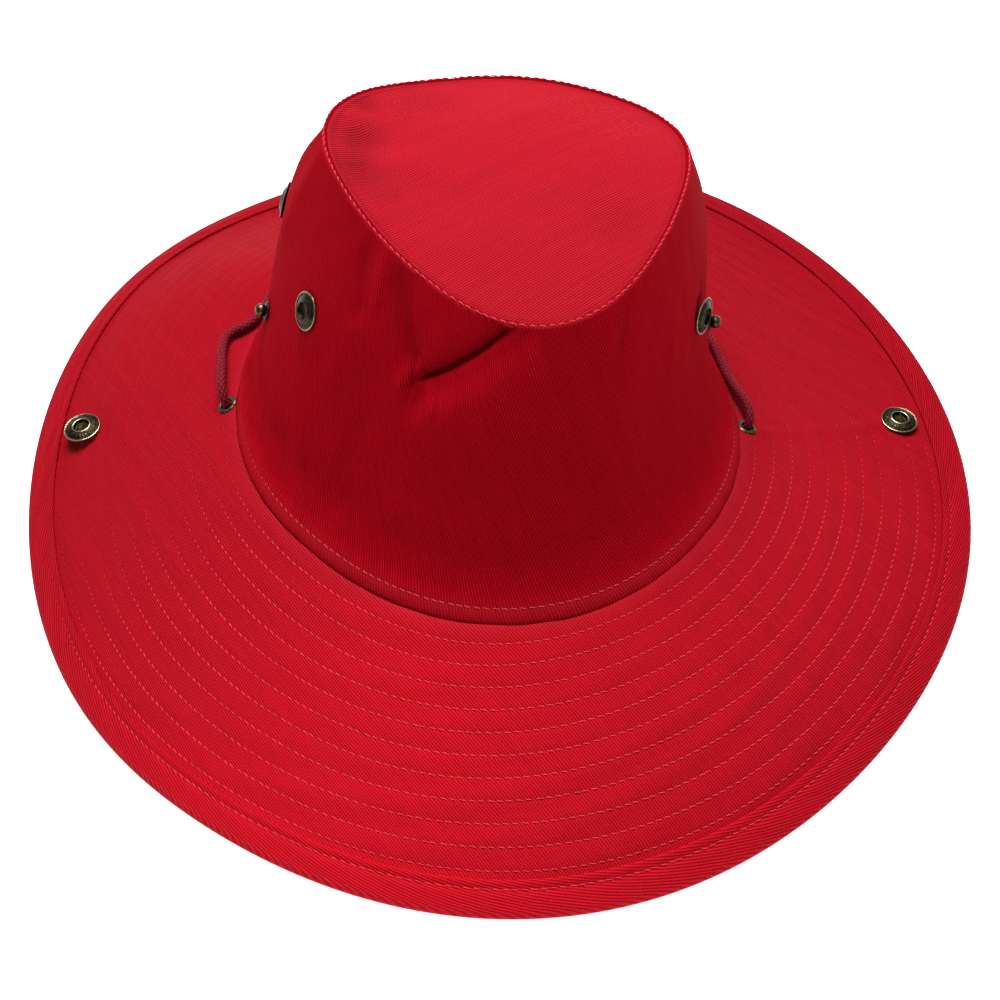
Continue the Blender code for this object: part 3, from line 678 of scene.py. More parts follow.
def crown_wall():
    """Wall from just under the base seam to the top seam, where its edge rolls in over the panel."""
    angle = wall_angles(WALL_STEPS)
    up = np.concatenate([np.linspace(-0.008, 0.08, 14), np.linspace(0.08, 0.6, 29)[1:],
                         np.linspace(0.6, 1, 61)[1:]])
    points = wall_surface(angle[:-1, None], up[None])
    middle = np.array([TOP_SHIFT_RIGHT, TOP_SHIFT_BACK, 0.0])
    inward = middle - points[:, -1]
    inward[:, 2] = 0
    level, rise = np.array(TOP_ROLL).T[:, None, :, None]
    curl = points[:, -1:] + unit(inward)[:, None] * level + np.array(UPRIGHT) * rise
    points = np.concatenate([points, curl], 1) + SHIFT
    rows = np.append(up, 1 + np.arange(1, 6) * 0.006)
    cloth = np.stack(np.broadcast_arrays(angle[:, None] * 78.0, rows[None] * 96.0), -1)
    # Lighter line along the crest of the top seam and along the foot: partly rubbed wear, partly painted
    # highlight.
    wear_and_painted_light = 0.20 * bell(rows - 1.0, 0.003) + 0.10 * bell(rows - 0.02, 0.02)
    above, left = fold_place(angle[:-1, None], rows[None])
    side = turned_away(angle[:-1, None], math.radians(180))
    dents = np.clip(-fold_push(angle[:-1, None], rows[None], WALL_CREASES) / 0.0025, 0, 1)
    # Painted shade: in the groove above the sharp fold, on the wall's left side, in the creases' dents, and
    # on the edge rolled in over the panel.
    painted_shade = 0.65 * bell(above - 0.0024, 0.0023) * left + 0.14 * bell(side, 0.7)
    painted_shade = painted_shade + 0.4 * dents + 0.40 * np.clip((rows - 1.0) / 0.006, 0, 1)
    marks = {"wear_and_painted_light": np.broadcast_to(wear_and_painted_light, points.shape[:2]), "painted_shade": painted_shade}
    return surface_mesh("crown_cloth", points, cloth, marks=marks)


# Softer dents of the top panel that the CAD leaves out: degrees, share to the edge, metres wide and down
PANEL_DENTS = named_rows("angle along wide down", [
    (158, 0.84, 0.0080, 0.0036),
    (176, 0.86, 0.0085, 0.0040),
    (139, 0.93, 0.0050, 0.0024),
    (192, 0.80, 0.0060, 0.0010),
    (312, 0.82, 0.0120, 0.0012),
    (168, 0.60, 0.0090, -0.0012),
    (120, 0.78, 0.0110, 0.0010),
])


def panel_dents(point):
    """Height of the panel's softer dents, each a bell."""
    total = np.zeros(point.shape[:-1])
    for dent in PANEL_DENTS:
        spot = panel_middle(math.radians(dent["angle"]), dent["along"])
        far = np.hypot(point[..., 0] - spot[0], point[..., 1] - spot[1]) / dent["wide"]
        total = total - dent["down"] * np.exp(-far ** 2)
    return total


def panel_surface(angle, along):
    """Dressed top panel: the CAD's panel with its softer dents and calm ripples."""
    point = panel_middle(angle, along)
    lift = 0.0004 * ripple(point[..., 0], point[..., 1], [(0.02, 0.05), (0.012, 0.02)], 8)
    lift = lift + panel_dents(point)
    rise = 0.0003 * np.clip((along - 0.95) / 0.04, 0, 1) ** 2
    point[..., 2] += lift * (1 - np.minimum(along, 1) ** 8) + rise
    return point


def crown_top():
    """Top panel as a square grid pressed into a round one, so that no pole is left in its middle."""
    side = PANEL_STEPS + 1
    a, b = np.meshgrid(np.linspace(-1, 1, side), np.linspace(-1, 1, side), indexing="ij")
    x, y = a * np.sqrt(1 - b ** 2 / 2), b * np.sqrt(1 - a ** 2 / 2)
    angle, along = np.arctan2(y, x), 1.020 * np.hypot(x, y)
    points = (panel_surface(angle, along) + SHIFT).reshape(-1, 3)
    plain = panel_middle(angle, along).reshape(-1, 3)
    cloth = plain[:, :2] * 1000
    corner = np.arange(PANEL_STEPS)[:, None] * side + np.arange(PANEL_STEPS)[None]
    quads = np.stack([corner, corner + side, corner + side + 1, corner + 1], -1).reshape(-1, 4)
    # Painted shade: even over the whole panel, in a thin line inside the seam, and in the dents.
    painted_shade = 0.17 + 0.30 * bell(along.reshape(-1) - 0.985, 0.010)
    painted_shade = painted_shade + 0.30 * np.clip(-panel_dents(plain) / 0.003, 0, 1)
    return mesh_from("crown_panel", points, quads, cloth[quads], {"painted_shade": painted_shade})


# Low creases pressed into the brim: degrees, millimetres from the seam, width and height in millimetres
BRIM_CREASES = named_rows("angle along to_angle to_along wide up", [
    (-3.6, 13, 2.9, 58, 2.3, 0.55),
    (273, 30, 273, 42, 2.0, 0.25),
])


def brim_creases(angle, along):
    """Height of the brim's pressed creases: low ridges in nearly straight lines outwards."""
    total = np.zeros(np.broadcast(angle, along).shape)
    for row in BRIM_CREASES:
        share = (along - 0.001 * row["along"]) / (0.001 * (row["to_along"] - row["along"]))
        line = np.radians(row["angle"] + (row["to_angle"] - row["angle"]) * share)
        away = turned_away(angle, line) * (0.092 + along)
        ends = np.exp(-np.maximum(np.abs(share - 0.5) - 0.5, 0) ** 2 / 0.01)
        total = total + 0.001 * row["up"] * bell(away, 0.001 * row["wide"]) * ends
    return total


def quilting(angle, along):
    """Height of the stitched brim: a groove at every row of stitches, puckers, calm waves and creases."""
    row = np.clip(np.round((along - ROW_FIRST) / ROW_PITCH), 0, ROWS - 1)
    far = along - ROW_FIRST - row * ROW_PITCH
    groove = -GROOVE * bell(far, GROOVE_WIDTH)
    girth = 0.092 + along
    pucker = 0.00010 * ripple(angle * girth, along * 2.2, [(0.009, 0.016), (0.005, 0.009)], 5)
    calm = 0.00035 * ripple(angle * girth, along, [(0.04, 0.09)], 12)
    return groove + pucker + calm + brim_creases(angle, along)


def brim_painted_shade(angle):
    """How much painted shade darkens the brim's red at the sides and back, as the light falls there, against
    its front.
    """
    behind = BACK_PAINTED_SHADE * np.maximum(np.cos(angle - BACK_SHADE_ANGLE), 0)
    return SIDE_PAINTED_SHADE * (1 - bell(turned_away(angle, LIT_FRONT), LIT_SPREAD)) + behind


def quiet_rows(angle):
    """1 at the sides and back, where the rows of stitches sink into the cloth, 0 in front."""
    return 1 / (1 + np.exp((ROWS_REACH - np.abs(turned_away(angle, ROWS_SHOWN))) / ROWS_END))


def brim_cloth():
    """Brim from under the crown wall to inside the binding, with round holes where the eyelets go."""
    angle = np.linspace(0, TURN, BRIM_ROUNDS + 1)
    along = np.linspace(0.0009, BRIM_WIDTH - BINDING_CLOTH - GAP - 0.0004, BRIM_ROWS)
    turn, out = np.broadcast_arrays(angle[:-1, None], along[None])
    turn, out = turn.copy(), out.copy()
    keep = np.ones(turn.shape, bool)
    hole = EYELET_HOLE_RADIUS + EYELET_BARREL
    for row in EYELETS:
        centre = math.radians(row["angle"])
        from_seam = 0.001 * row["along"]
        step = brim_middle(centre + 0.01, from_seam) - brim_middle(centre - 0.01, from_seam)
        girth = np.linalg.norm(step / 0.02)
        side = turned_away(turn, centre) * girth
        rise = out - from_seam
        far = np.maximum(np.hypot(side, rise), 1e-6)
        keep &= far > hole
        push = np.where(far < hole, hole / far, 1)
        turn, out = turn + side * (push - 1) / girth, out + rise * (push - 1)
    tuck = -0.0004 * bell(out - 0.0009, 0.0008)
    points = brim_point(turn, out, quilting(turn, out) + tuck) + SHIFT
    seam, away = base_seam(angle)[:, None], outward(angle)[:, None]
    cloth = (seam + away * along[None, :, None])[..., :2] * 1000
    cloth[..., 1] -= 0.00185 * cloth[..., 0] ** 2
    # Painted light lifts the brim next to the base seam, where the crown's shadow falls; painted shade
    # darkens its sides and back.
    marks = {"wear_and_painted_light": 0.12 * bell(out, 0.004), "painted_shade": brim_painted_shade(turn)}
    return surface_mesh("brim_cloth", points, cloth, keep=keep, marks=marks)


def hem_height(angle, along):
    """Height of the binding over the brim's middle: drawn down at its edge and stitches, puckered."""
    inner = BRIM_WIDTH - BINDING_WIDTH
    outer = BRIM_CLOTH / 2 + GAP + BINDING_CLOTH
    into = along - inner
    height = outer - 0.0004 * bell(into, 0.0009) - 0.0006 * bell(into - HEM_ROW, 0.0011)
    pucker = 0.00012 * ripple(angle * 0.18, along * 1.2, [(0.007, 0.012), (0.004, 0.007)], 21)
    return height + pucker


def brim_hem():
    """Folded binding: up its inner edge, over the top, round the rim, back below and inside the fold."""
    outer = BRIM_CLOTH / 2 + GAP + BINDING_CLOTH
    inner = BRIM_CLOTH / 2 + 0.5 * GAP
    edge = BRIM_WIDTH - BINDING_WIDTH
    top = np.linspace(edge + 0.0001, BRIM_WIDTH - outer, 16)
    bend = np.linspace(0, math.pi, 10)[1:-1]
    angle = np.linspace(0, TURN, HEM_STEPS + 1)
    around = angle[:-1, None]
    upper = hem_height(around, top[None])
    round_along = BRIM_WIDTH - outer + outer * np.sin(bend)
    round_above = outer * np.cos(bend)
    under = top[::-1]
    inside = np.array([(edge + 0.0001, -inner), (BRIM_WIDTH - BINDING_CLOTH - 0.0006, -inner),
                       (BRIM_WIDTH - BINDING_CLOTH, 0), (BRIM_WIDTH - BINDING_CLOTH - 0.0006, inner),
                       (edge + 0.0001, inner)])
    n = len(angle) - 1
    along = np.concatenate([top, round_along, under, inside[:, 0]])
    lift = np.concatenate([upper, np.broadcast_to(round_above, (n, len(bend))),
                           -hem_height(around + 0.5, under[None]),
                           np.broadcast_to(inside[:, 1], (n, len(inside)))], 1)
    points = brim_point(around, along[None], lift) + SHIFT
    points[..., 2] = np.maximum(points[..., 2], 0)
    steps = np.abs(np.diff(along))
    spread = np.concatenate([[0], np.cumsum(np.maximum(steps, 0.0002))]) * 1000
    spread = np.append(spread, spread[-1] + 1)
    cloth = np.stack(np.broadcast_arrays(angle[:, None] * 172.0, spread[None]), -1)
    wear_and_painted_light = np.zeros(points.shape[:2])
    wear_and_painted_light[:, len(top):len(top) + len(bend)] = 0.08
    # Painted shade: the binding takes the brim's painted shade at its sides and back.
    painted_shade = np.broadcast_to(brim_painted_shade(around), points.shape[:2])
    marks = {"wear_and_painted_light": wear_and_painted_light[:, ::-1], "painted_shade": painted_shade}
    return surface_mesh("brim_hem", points[:, ::-1], cloth[:, ::-1], across_closed=True, marks=marks)


def far_along(points):
    """Length of a path up to each of its points."""
    return np.append(0, np.cumsum(np.linalg.norm(np.diff(points, axis=0), axis=1)))


def places(at, length, points):
    """Points or normals of a path at some lengths along it."""
    return np.stack([np.interp(at, length, points[:, k]) for k in range(3)], -1)


def tube_faces(rings, sides):
    """Faces of a tube between each ring of points and the next."""
    i, j = np.arange(rings - 1)[:, None] * sides, np.arange(sides)[None]
    j2 = (j + 1) % sides
    return np.stack([i + j, i + j2, i + sides + j2, i + sides + j], -1).reshape(-1, 4)


def stitches(name, path, normal, seed, sides):
    """Rows of stitches: a spindle for every STITCH along each closed path, sunk at its ends, a bit aslant.

    path: one array of points for each row, closed, with the surface's normals beside it."""
    rng = np.random.default_rng(seed)
    starts, ends, ups = [], [], []
    for points, normals in zip(path, normal):
        length = far_along(points)
        count = int(round(length[-1] / STITCH))
        at = (np.arange(count) + 0.06 * rng.standard_normal(count)) * length[-1] / count
        starts.append(places(np.clip(at + 0.06 * STITCH, 0, length[-1]), length, points))
        ends.append(places(np.clip(at + 0.90 * STITCH, 0, length[-1]), length, points))
        ups.append(places(at + 0.5 * STITCH, length, normals))
    start, end, up = np.concatenate(starts), np.concatenate(ends), np.concatenate(ups)
    size = np.linalg.norm(end - start, axis=1, keepdims=True)
    heading = (end - start) / size
    side = unit(np.cross(heading, up))
    share = np.array([0.0, 0.16, 0.5, 0.84, 1.0])
    lift = np.array([-0.9, 0.1, 0.8, 0.1, -0.9]) * THREAD
    thick = np.array([0.25, 0.85, 1.0, 0.85, 0.25]) * THREAD
    slant = (share - 0.5) * 0.16
    centre = (start[:, None] + heading[:, None] * (size * share)[..., None]
              + side[:, None] * (size * slant)[..., None] + up[:, None] * lift[None, :, None])
    turn = (np.arange(sides) * TURN / sides)[None, None, :, None]
    ring = side[:, None, None] * np.cos(turn) + up[:, None, None] * np.sin(turn)
    points = centre[:, :, None] + ring * thick[None, :, None, None]
    first = np.arange(len(start))[:, None, None] * len(share) * sides
    quads = (tube_faces(len(share), sides)[None] + first).reshape(-1, 4)
    return mesh_from(name, points.reshape(-1, 3) + SHIFT, quads)


def brim_rows(side):
    """Paths and normals of the brim's rows, on its upper (1) or under (-1) side."""
    angle = np.linspace(0, TURN, SEAM_STEPS + 1)
    paths, normals = [], []
    for row in range(1, ROWS):
        along = ROW_FIRST + row * ROW_PITCH
        shift = 0.00012 * np.sin(angle * 7 + row)
        out = along + shift
        height = quilting(angle, out) + side * (BRIM_CLOTH / 2 + 0.00006 - 0.00036 * quiet_rows(angle))
        paths.append(brim_point(angle, out, height))
        normals.append(side * brim_normal(angle, out))
    return paths, normals


def hem_rows(side):
    """The binding's one row, above or below."""
    angle = np.linspace(0, TURN, SEAM_STEPS + 1)
    along = np.full(angle.shape, BRIM_WIDTH - BINDING_WIDTH + HEM_ROW)
    pucker = hem_height(angle if side > 0 else angle + 0.5, along)
    height = side * (pucker + 0.00004 - 0.00034 * quiet_rows(angle))
    path = brim_point(angle, along, height)
    path[:, 2] = np.maximum(path[:, 2], 0.0003 - SHIFT[2])
    return [path], [side * brim_normal(angle, along)]


def wall_rows():
    """The crown's row of stitches just above its foot."""
    angle = np.linspace(0, TURN, SEAM_STEPS + 1)
    up = FOOT_ROW / np.linalg.norm(top_seam(angle) - base_seam(angle), axis=-1)
    normal = wall_normal(angle, up)
    above = WALL_CLOTH / 2 + 0.00002 - 0.0003 * quiet_rows(angle)
    return [wall_surface(angle, up) + normal * above[:, None]], [normal]


def top_rows():
    """The row of stitches along the ridge of the top seam."""
    angle = np.linspace(0, TURN, HEM_STEPS + 1)
    up = np.broadcast_to(np.array(UPRIGHT), (len(angle), 3))
    return [top_seam(angle) + outward(angle) * 0.00025 + up * 0.00066], [up]


def smooth_path(route, count):
    """Points along a smooth curve through the route, closer together where it bends."""
    ends = np.vstack([2 * route[0] - route[1], route, 2 * route[-1] - route[-2]])
    dense = []
    for corners in zip(ends, ends[1:], ends[2:], ends[3:]):
        knots = np.cumsum([0] + [math.sqrt(np.linalg.norm(b - a)) for a, b in zip(corners, corners[1:])])
        at = np.linspace(knots[1], knots[2], 40, endpoint=False)[:, None]

        def between(a, b, low, high):
            size = knots[high] - knots[low]
            return (knots[high] - at) / size * a + (at - knots[low]) / size * b

        first, middle, last = (between(corners[k], corners[k + 1], k, k + 1) for k in range(3))
        dense.append(between(between(first, middle, 0, 2), between(middle, last, 1, 3), 1, 2))
    dense = np.vstack(dense + [route[-1:]])
    steps = np.diff(dense, axis=0)
    lengths = np.linalg.norm(steps, axis=1)
    heading = steps / lengths[:, None]
    turns = np.arccos(np.clip((heading[1:] * heading[:-1]).sum(1), -1, 1))
    cost = lengths / 0.011 + np.append(turns, 0) / math.radians(16)
    total = np.append(0, np.cumsum(cost))
    return places(np.linspace(0, total[-1], count), total, dense)


def cord_path(count):
    """Whole loop of the chin cord, from inside the left eyelet and back to it."""
    angle, along, above = np.array(CORD_ON_BRIM).T
    on_brim = brim_point(np.radians(angle), along * 0.001, above * 0.001) + SHIFT
    in_eyelet = np.array([above[-1] * 0.001 - GAP, -0.007])
    start = brim_point(np.radians(angle[-1]), along[-1] * 0.001, in_eyelet) + SHIFT
    return smooth_path(np.vstack([start, np.array(CORD_BELOW) * 0.001, on_brim]), count)


def chin_cord():
    """Round braid: a tube along the path whose skin swells a little at every crossing of its strands."""
    path = cord_path(900)
    along = far_along(path)
    length = along[-1]
    path = places(np.linspace(0, length, CORD_STEPS), along, path)
    heading = unit(np.gradient(path, axis=0))
    side = np.zeros_like(path)
    side[0] = np.cross(heading[0], [0, 1, 0])
    for k in range(1, len(path)):
        side[k] = unit(side[k - 1] - heading[k] * (side[k - 1] @ heading[k]))
    up = np.cross(heading, side)
    turn = np.arange(CORD_SIDES) * TURN / CORD_SIDES
    far = np.linspace(0, length, len(path))[:, None]
    radius = CORD_RADIUS * (0.96 + 0.04 * np.cos(6 * turn[None]) * np.cos(far * TURN / 0.0021))
    ring = side[:, None] * np.cos(turn)[None, :, None] + up[:, None] * np.sin(turn)[None, :, None]
    points = path[:, None] + ring * radius[..., None]
    tips = path[[0, -1], None].repeat(CORD_SIDES, 1)
    points = np.concatenate([tips[:1], points, tips[1:]])
    rings = len(points)
    i, j = np.arange(rings - 1)[:, None], np.arange(CORD_SIDES)[None]
    step = length * 1000 / rings
    corner = np.stack([np.stack(np.broadcast_arrays(ii * step, jj * 10.0 / CORD_SIDES), -1)
                       for ii, jj in ((i, j), (i, j + 1), (i + 1, j + 1), (i + 1, j))], 2)
    mesh = mesh_from("chin_cord_braid", points.reshape(-1, 3), tube_faces(rings, CORD_SIDES), corner)
    return mesh, path, length


def surface_frame(surface, first, second, lean, lean_to):
    """Place and turn whose Z axis is square to the surface, or leans from there by some degrees."""
    first, second = np.asarray(float(first)), np.asarray(float(second))
    normal = wall_normal(first, second) if surface is wall_middle else brim_normal(first, second)
    sideways = np.array(lean_to) - normal * (normal @ np.array(lean_to))
    normal = normal + math.tan(math.radians(lean)) * sideways / np.linalg.norm(sideways)
    place = Vector(surface(first, second) + SHIFT)
    return np.array(Matrix.Translation(place) @ Vector(normal).to_track_quat("Z", "Y").to_matrix().to_4x4())


def surface_swell(surface, place, first, second, spread_first, spread_second):
    """How far the surface rises above and sinks below its tangent plane near a place."""
    a, b = np.meshgrid(np.linspace(-1, 1, 7), np.linspace(-1, 1, 7))
    keep = np.hypot(a, b) <= 1.01
    points = surface(first + a[keep] * spread_first, second + b[keep] * spread_second) + SHIFT
    heights = (points - place[:3, 3]) @ place[:3, 2]
    return max(heights.max(), 0), max(-heights.min(), 0)


def fitted(surface, first, second, spread, cloth, lean=0, lean_to=UPRIGHT):
    """Place of a metal piece, and how far its front and back stand from the cloth's middle."""
    place = surface_frame(surface, first, second, lean, lean_to)
    rise, sink = surface_swell(surface, place, first, second, *spread)
    return place, cloth + rise, cloth + sink


def turned_mesh(name, section, place, relief=None, steps=96, wear=1.0):
    """Turned metal piece: a closed section carried round the axis.

    section: for each corner its radius, height, its wear and its share of the relief."""
    radius, height, wear_and_painted_light, share = np.array(section, float).T[:, None]
    turn = np.linspace(0, TURN, steps, endpoint=False)[:, None]
    raised = relief(turn, radius) * share if relief else 0 * turn
    local = np.broadcast_arrays(radius * np.cos(turn), radius * np.sin(turn), height + raised, 1.0)
    points = (np.stack(local, -1) @ place.T)[..., :3]
    wear_and_painted_light = np.broadcast_to(wear * (wear_and_painted_light + 0.45 * raised / BEAD_HEIGHT), points.shape[:2])
    cloth = np.zeros((steps + 1, radius.size + 1, 2))
    return surface_mesh(name, points, cloth, across_closed=True, marks={"wear_and_painted_light": wear_and_painted_light})


def rounded(points, cut, count=3):
    """Section whose corners each become a short bend."""
    points = np.array(points, float)
    before, after = np.roll(points, 1, 0), np.roll(points, -1, 0)
    out = []
    for a, p, b in zip(before, points, after):
        to_a, to_b = a[:2] - p[:2], b[:2] - p[:2]
        reach_a = min(cut, 0.45 * np.linalg.norm(to_a)) / max(np.linalg.norm(to_a), 1e-9)
        reach_b = min(cut, 0.45 * np.linalg.norm(to_b)) / max(np.linalg.norm(to_b), 1e-9)
        start, end = p[:2] + to_a * reach_a, p[:2] + to_b * reach_b
        for t in np.linspace(0, 1, count):
            q = (1 - t) ** 2 * start + 2 * t * (1 - t) * p[:2] + t ** 2 * end
            out.append((*q, p[2], p[3]))
    return np.array(out)


def beads(turn, radius):
    """Ring of small beads pressed into the snap's face."""
    return BEAD_HEIGHT * bell(radius - BEAD_RING, BEAD_WIDTH) * (0.5 + 0.5 * np.cos(BEADS * turn))


def snap_section(radius, above, below):
    """Ring-shaped snap: sunk middle, raised lip, sloping face, rolled edge, and post and washer behind."""
    top = above + SNAP_HEIGHT
    floor = above + 0.3 * METAL
    lip = SNAP_WELL_RADIUS
    face = [(0.00005, floor, -0.6, 0), (lip - 0.0009, floor, -0.6, 0), (lip - 0.0007, top - 0.0002, 0.2, 0),
            (lip - 0.0003, top, 1.0, 0), (lip + 0.0002, top - 0.0004, 0.1, 0)]
    slope = [(lip + 0.0006 + share * (radius - lip - 0.0015), top - 0.00045 - 0.0009 * share, -0.1, 1)
             for share in np.linspace(0, 1, 9)]
    edge = [(radius - 0.0006, top - 0.0012, 0.3, 0), (radius - 0.0003, above + 0.9 * METAL, 0.9, 0),
            (radius, above + 0.5 * METAL, 0.6, 0), (0.97 * radius, above, 0.1, 0)]
    back = [(0.0013, above, 0, 0), (0.0013, -below, 0, 0), (WASHER_RADIUS, -below, 0.1, 0),
            (WASHER_RADIUS, -below - METAL, 0.5, 0), (0.0018, -below - 1.2 * METAL, 0.3, 0),
            (0.0012, -below - 0.8 * METAL, 0.1, 0), (0.00005, -below - 0.8 * METAL, 0, 0)]
    return rounded(face + slope + edge + back, 0.00018)


def stud_section(above, below):
    """Ball stud: flange, waist and rounded head, post and washer behind."""
    tip = above + STUD_LENGTH
    r = STUD_HEAD_RADIUS
    front = [(0.00005, tip, 0.5, 0), (0.45 * r, tip - 0.05 * r, 0.6, 0), (0.8 * r, tip - 0.3 * r, 0.7, 0),
             (r, tip - 0.8 * r, 0.8, 0), (0.92 * r, tip - 1.2 * r, 0.3, 0),
             (STUD_POST_RADIUS, tip - 1.6 * r, 0.0, 0), (STUD_POST_RADIUS, above + 1.6 * METAL, 0.0, 0),
             (0.0022, above + 1.3 * METAL, 0.3, 0),
             (0.0028, above + 1.1 * METAL, 0.1, 0), (STUD_FLANGE_RADIUS, above + 0.6 * METAL, 0.4, 0),
             (STUD_FLANGE_RADIUS, above, 0.3, 0)]
    back = [(0.0013, above, 0, 0), (0.0013, -below, 0, 0), (WASHER_RADIUS, -below, 0.1, 0),
            (WASHER_RADIUS, -below - METAL, 0.5, 0), (0.00005, -below - 1.3 * METAL, 0.2, 0)]
    return rounded(front + back, 0.00015)


def eyelet_section(above, below):
    """Eyelet: a barrel through the brim with a rolled flange above and a flat one below."""
    barrel = EYELET_HOLE_RADIUS + EYELET_BARREL
    flange = barrel + EYELET_FLANGE
    return rounded([
        (EYELET_HOLE_RADIUS, above + 0.5 * METAL, 0.4, 0), (barrel, above + 1.1 * METAL, 1.0, 0),
        (barrel + 0.6 * EYELET_FLANGE, above + 0.9 * METAL, 0.7, 0), (flange, above + 0.4 * METAL, 0.5, 0),
        (flange, above, 0.1, 0), (barrel, above, 0, 0), (barrel, -below, 0, 0), (flange, -below, 0.1, 0),
        (flange, -below - METAL, 0.4, 0), (EYELET_HOLE_RADIUS, -below - METAL, 0.3, 0)], 0.00025, 4)


def spring_mesh(name, place, above):
    """Two short wires of the spring inside a brim socket: thin bars bent a little towards each other."""
    share = np.linspace(-1, 1, 17)
    turn = np.arange(8) * TURN / 8
    parts = []
    for side in (1, -1):
        y = side * (0.0014 - 0.0004 * share ** 2)
        local = np.stack(np.broadcast_arrays(
            0.0021 * share[:, None], y[:, None] + 0.00018 * np.cos(turn)[None],
            above + 0.0009 + 0.00018 * np.sin(turn)[None], 1.0), -1)
        parts.append((local @ place.T)[..., :3])
    points = np.concatenate(parts)
    bar = tube_faces(len(share), len(turn))[:, ::-1]
    quads = np.concatenate([bar, bar + len(share) * len(turn)])
    return mesh_from(name, points.reshape(-1, 3), quads, None, {"wear_and_painted_light": np.full(points.shape[:2], 0.25)})


def make_camera():
    """Camera at the photograph's place."""
    data = bpy.data.cameras.new("camera")
    data.lens = CAMERA_LENS
    data.sensor_width = 36
    data.sensor_fit = "HORIZONTAL"
    data.clip_start = 0.01
    camera = bpy.data.objects.new("camera", data)
    bpy.context.scene.collection.objects.link(camera)
    aim = Vector(CAMERA_AIM) - Vector(CAMERA_PLACE)
    turn = aim.to_track_quat("-Z", "Y").to_matrix().to_4x4()
    camera.matrix_world = Matrix.Translation(CAMERA_PLACE) @ turn @ Matrix.Rotation(-CAMERA_ROLL, 4, "Z")
    bpy.context.scene.camera = camera


def make_floor():
    """Plain pale floor with a faint unevenness, lit from below, so that shadows stay faint."""
    g = Graph("pale_floor")
    place = g.place()
    tone = g.range(g.noise(place, 3.0, 2.0), 0.3, 0.7)
    pale = g.mix(tone, (0.86, 0.86, 0.86, 1), (0.9, 0.9, 0.9, 1))
    g.finish({"Base Color": pale, "Roughness": 0.9,
              "Emission Color": (1, 1, 1, 1), "Emission Strength": FLOOR_GLOW})
    corners = [(x * FLOOR_SIDE, y * FLOOR_SIDE, 0) for x, y in ((-1, -1), (1, -1), (1, 1), (-1, 1))]
    mesh = bpy.data.meshes.new("floor")
    mesh.from_pydata(corners, [], [(0, 1, 2, 3)])
    mesh.materials.append(g.material)
    floor = bpy.data.objects.new("floor", mesh)
    bpy.context.scene.collection.objects.link(floor)


def make_look():
    """Plain colours, so that a saturated red stays red."""
    bpy.context.scene.view_settings.view_transform = "Standard"


def make_light():
    """Soft studio light: a large round lamp high behind the hat and a pale surround."""
    data = bpy.data.lights.new("key", "AREA")
    data.shape = "DISK"
    data.size = LAMP_SIZE
    data.energy = LAMP_POWER
    lamp = bpy.data.objects.new("key", data)
    bpy.context.scene.collection.objects.link(lamp)
    lamp.location = LAMP_PLACE
    lamp.rotation_euler = (Vector(LAMP_AIM) - Vector(LAMP_PLACE)).to_track_quat("-Z", "Y").to_euler()
    world = bpy.data.worlds.new("surround")
    world.use_nodes = True
    world.node_tree.nodes["Background"].inputs[0].default_value = (1, 1, 1, 1)
    world.node_tree.nodes["Background"].inputs[1].default_value = SURROUND
    bpy.context.scene.world = world


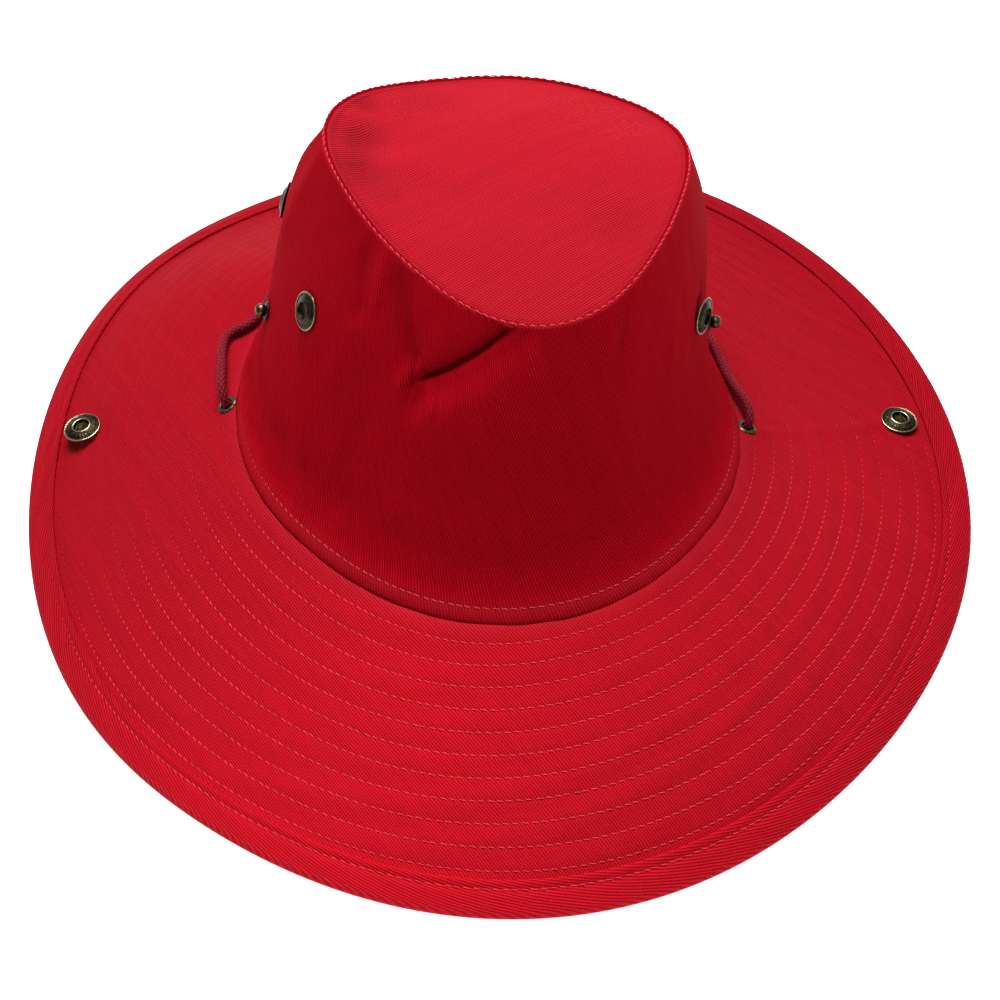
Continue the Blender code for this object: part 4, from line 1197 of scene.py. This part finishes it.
def make_hat():
    # One red twill in three copies with painted light and shade: as lit on the brim and binding, darker as
    # the shaded crown wall, darker and pinker as the top under the lamp, a painted sheen.
    bright = dict(valley=(0.22, 0.0006, 0.0045), crest=(0.68, 0.0075, 0.020), wear_and_painted_light=(0.80, 0.075, 0.105))
    shady = dict(valley=(0.115, 0.0001, 0.0025), crest=(0.47, 0.003, 0.0105), wear_and_painted_light=(0.62, 0.045, 0.055))
    upper = dict(valley=(0.145, 0.0004, 0.0035), crest=(0.60, 0.0065, 0.021), wear_and_painted_light=(0.75, 0.085, 0.115))
    brim_twill = twill("brim_twill", math.radians(-38), 0.03, **bright)
    wall_twill = twill("crown_wall_twill", math.radians(-28), 0.004, **shady)
    top_twill = twill("crown_top_twill", math.radians(53), 0.06, **upper)
    hem_twill = twill("hem_twill", math.radians(75.5), 0.03, **bright)
    thread = sewing_thread("red_thread", (0.78, 0.042, 0.070))
    bronze = antique_bronze("antique_bronze")
    braid = braid_material("maroon_braid")

    wall = add_piece("crown_cloth", crown_wall(), wall_twill, "crown_wall")
    add_cloth(wall, WALL_CLOTH)
    panel = add_piece("crown_panel", crown_top(), top_twill, "crown_top")
    add_cloth(panel, PANEL_CLOTH)
    brim = add_piece("brim_cloth", brim_cloth(), brim_twill, "brim")
    add_cloth(brim, BRIM_CLOTH)
    add_piece("brim_hem", brim_hem(), hem_twill, "brim_binding")

    sewn = [("brim_stitches", brim_rows(1), 5), ("brim_stitches_under", brim_rows(-1), 3),
            ("hem_stitches", hem_rows(1), 5), ("hem_stitches_under", hem_rows(-1), 3),
            ("crown_stitches", wall_rows(), 5), ("top_stitches", top_rows(), 5)]
    for seed, (name, (path, normal), sides) in enumerate(sewn, 1):
        add_piece(name, stitches(name, path, normal, seed, sides), thread)

    outer = EYELET_HOLE_RADIUS + EYELET_BARREL + EYELET_FLANGE
    for row in EYELETS:
        at, along = math.radians(row["angle"]), 0.001 * row["along"]
        spread = (outer / CROWN_HALF_WIDTH, outer)
        place, above, below = fitted(brim_middle, at, along, spread, BRIM_CLOTH / 2)
        mesh = turned_mesh(row["name"] + "_ring", eyelet_section(above, below), place, wear=0.5)
        add_piece(mesh.name, mesh, bronze, row["name"])

    along = BRIM_WIDTH - BINDING_WIDTH - SNAP_FROM_BINDING - SNAP_RADIUS
    for row in BRIM_SNAPS:
        spread = (SNAP_RADIUS / (CROWN_HALF_WIDTH + along), SNAP_RADIUS)
        place, above, below = fitted(brim_middle, math.radians(row["angle"]), along, spread,
                                     BRIM_CLOTH / 2 + GAP, row["lean"])
        mesh = turned_mesh(row["name"] + "_ring", snap_section(SNAP_RADIUS, above, below), place, beads, 156)
        add_piece(mesh.name, mesh, bronze, row["name"])
        mesh = spring_mesh(row["name"] + "_spring", place, above)
        add_piece(mesh.name, mesh, bronze)

    for row in CROWN_SNAPS + STUDS:
        radius = STUD_FLANGE_RADIUS if row in STUDS else CROWN_SNAP_RADIUS
        spread = (radius / (0.5 * CROWN_HALF_WIDTH + 0.5 * TOP_HALF_WIDTH), radius / CROWN_HEIGHT)
        place, above, below = fitted(wall_middle, math.radians(row["angle"]), row["up"], spread,
                                     WALL_CLOTH / 2 + GAP, row["lean"], FORWARDS)
        if row in STUDS:
            mesh = turned_mesh(row["name"] + "_ball", stud_section(above, below), place, None, 64, 0.45)
        else:
            section = snap_section(radius, above, below)
            section[section[:, 0] < 0.86 * radius, 2] -= 0.9
            mesh = turned_mesh(row["name"] + "_ring", section, place, None, 96, 0.6)
        add_piece(mesh.name, mesh, bronze, row["name"])

    mesh, path, length = chin_cord()
    cord = add_piece("chin_cord_braid", mesh, braid, "chin_cord")


make_camera()
make_floor()
make_light()
make_look()
make_hat()
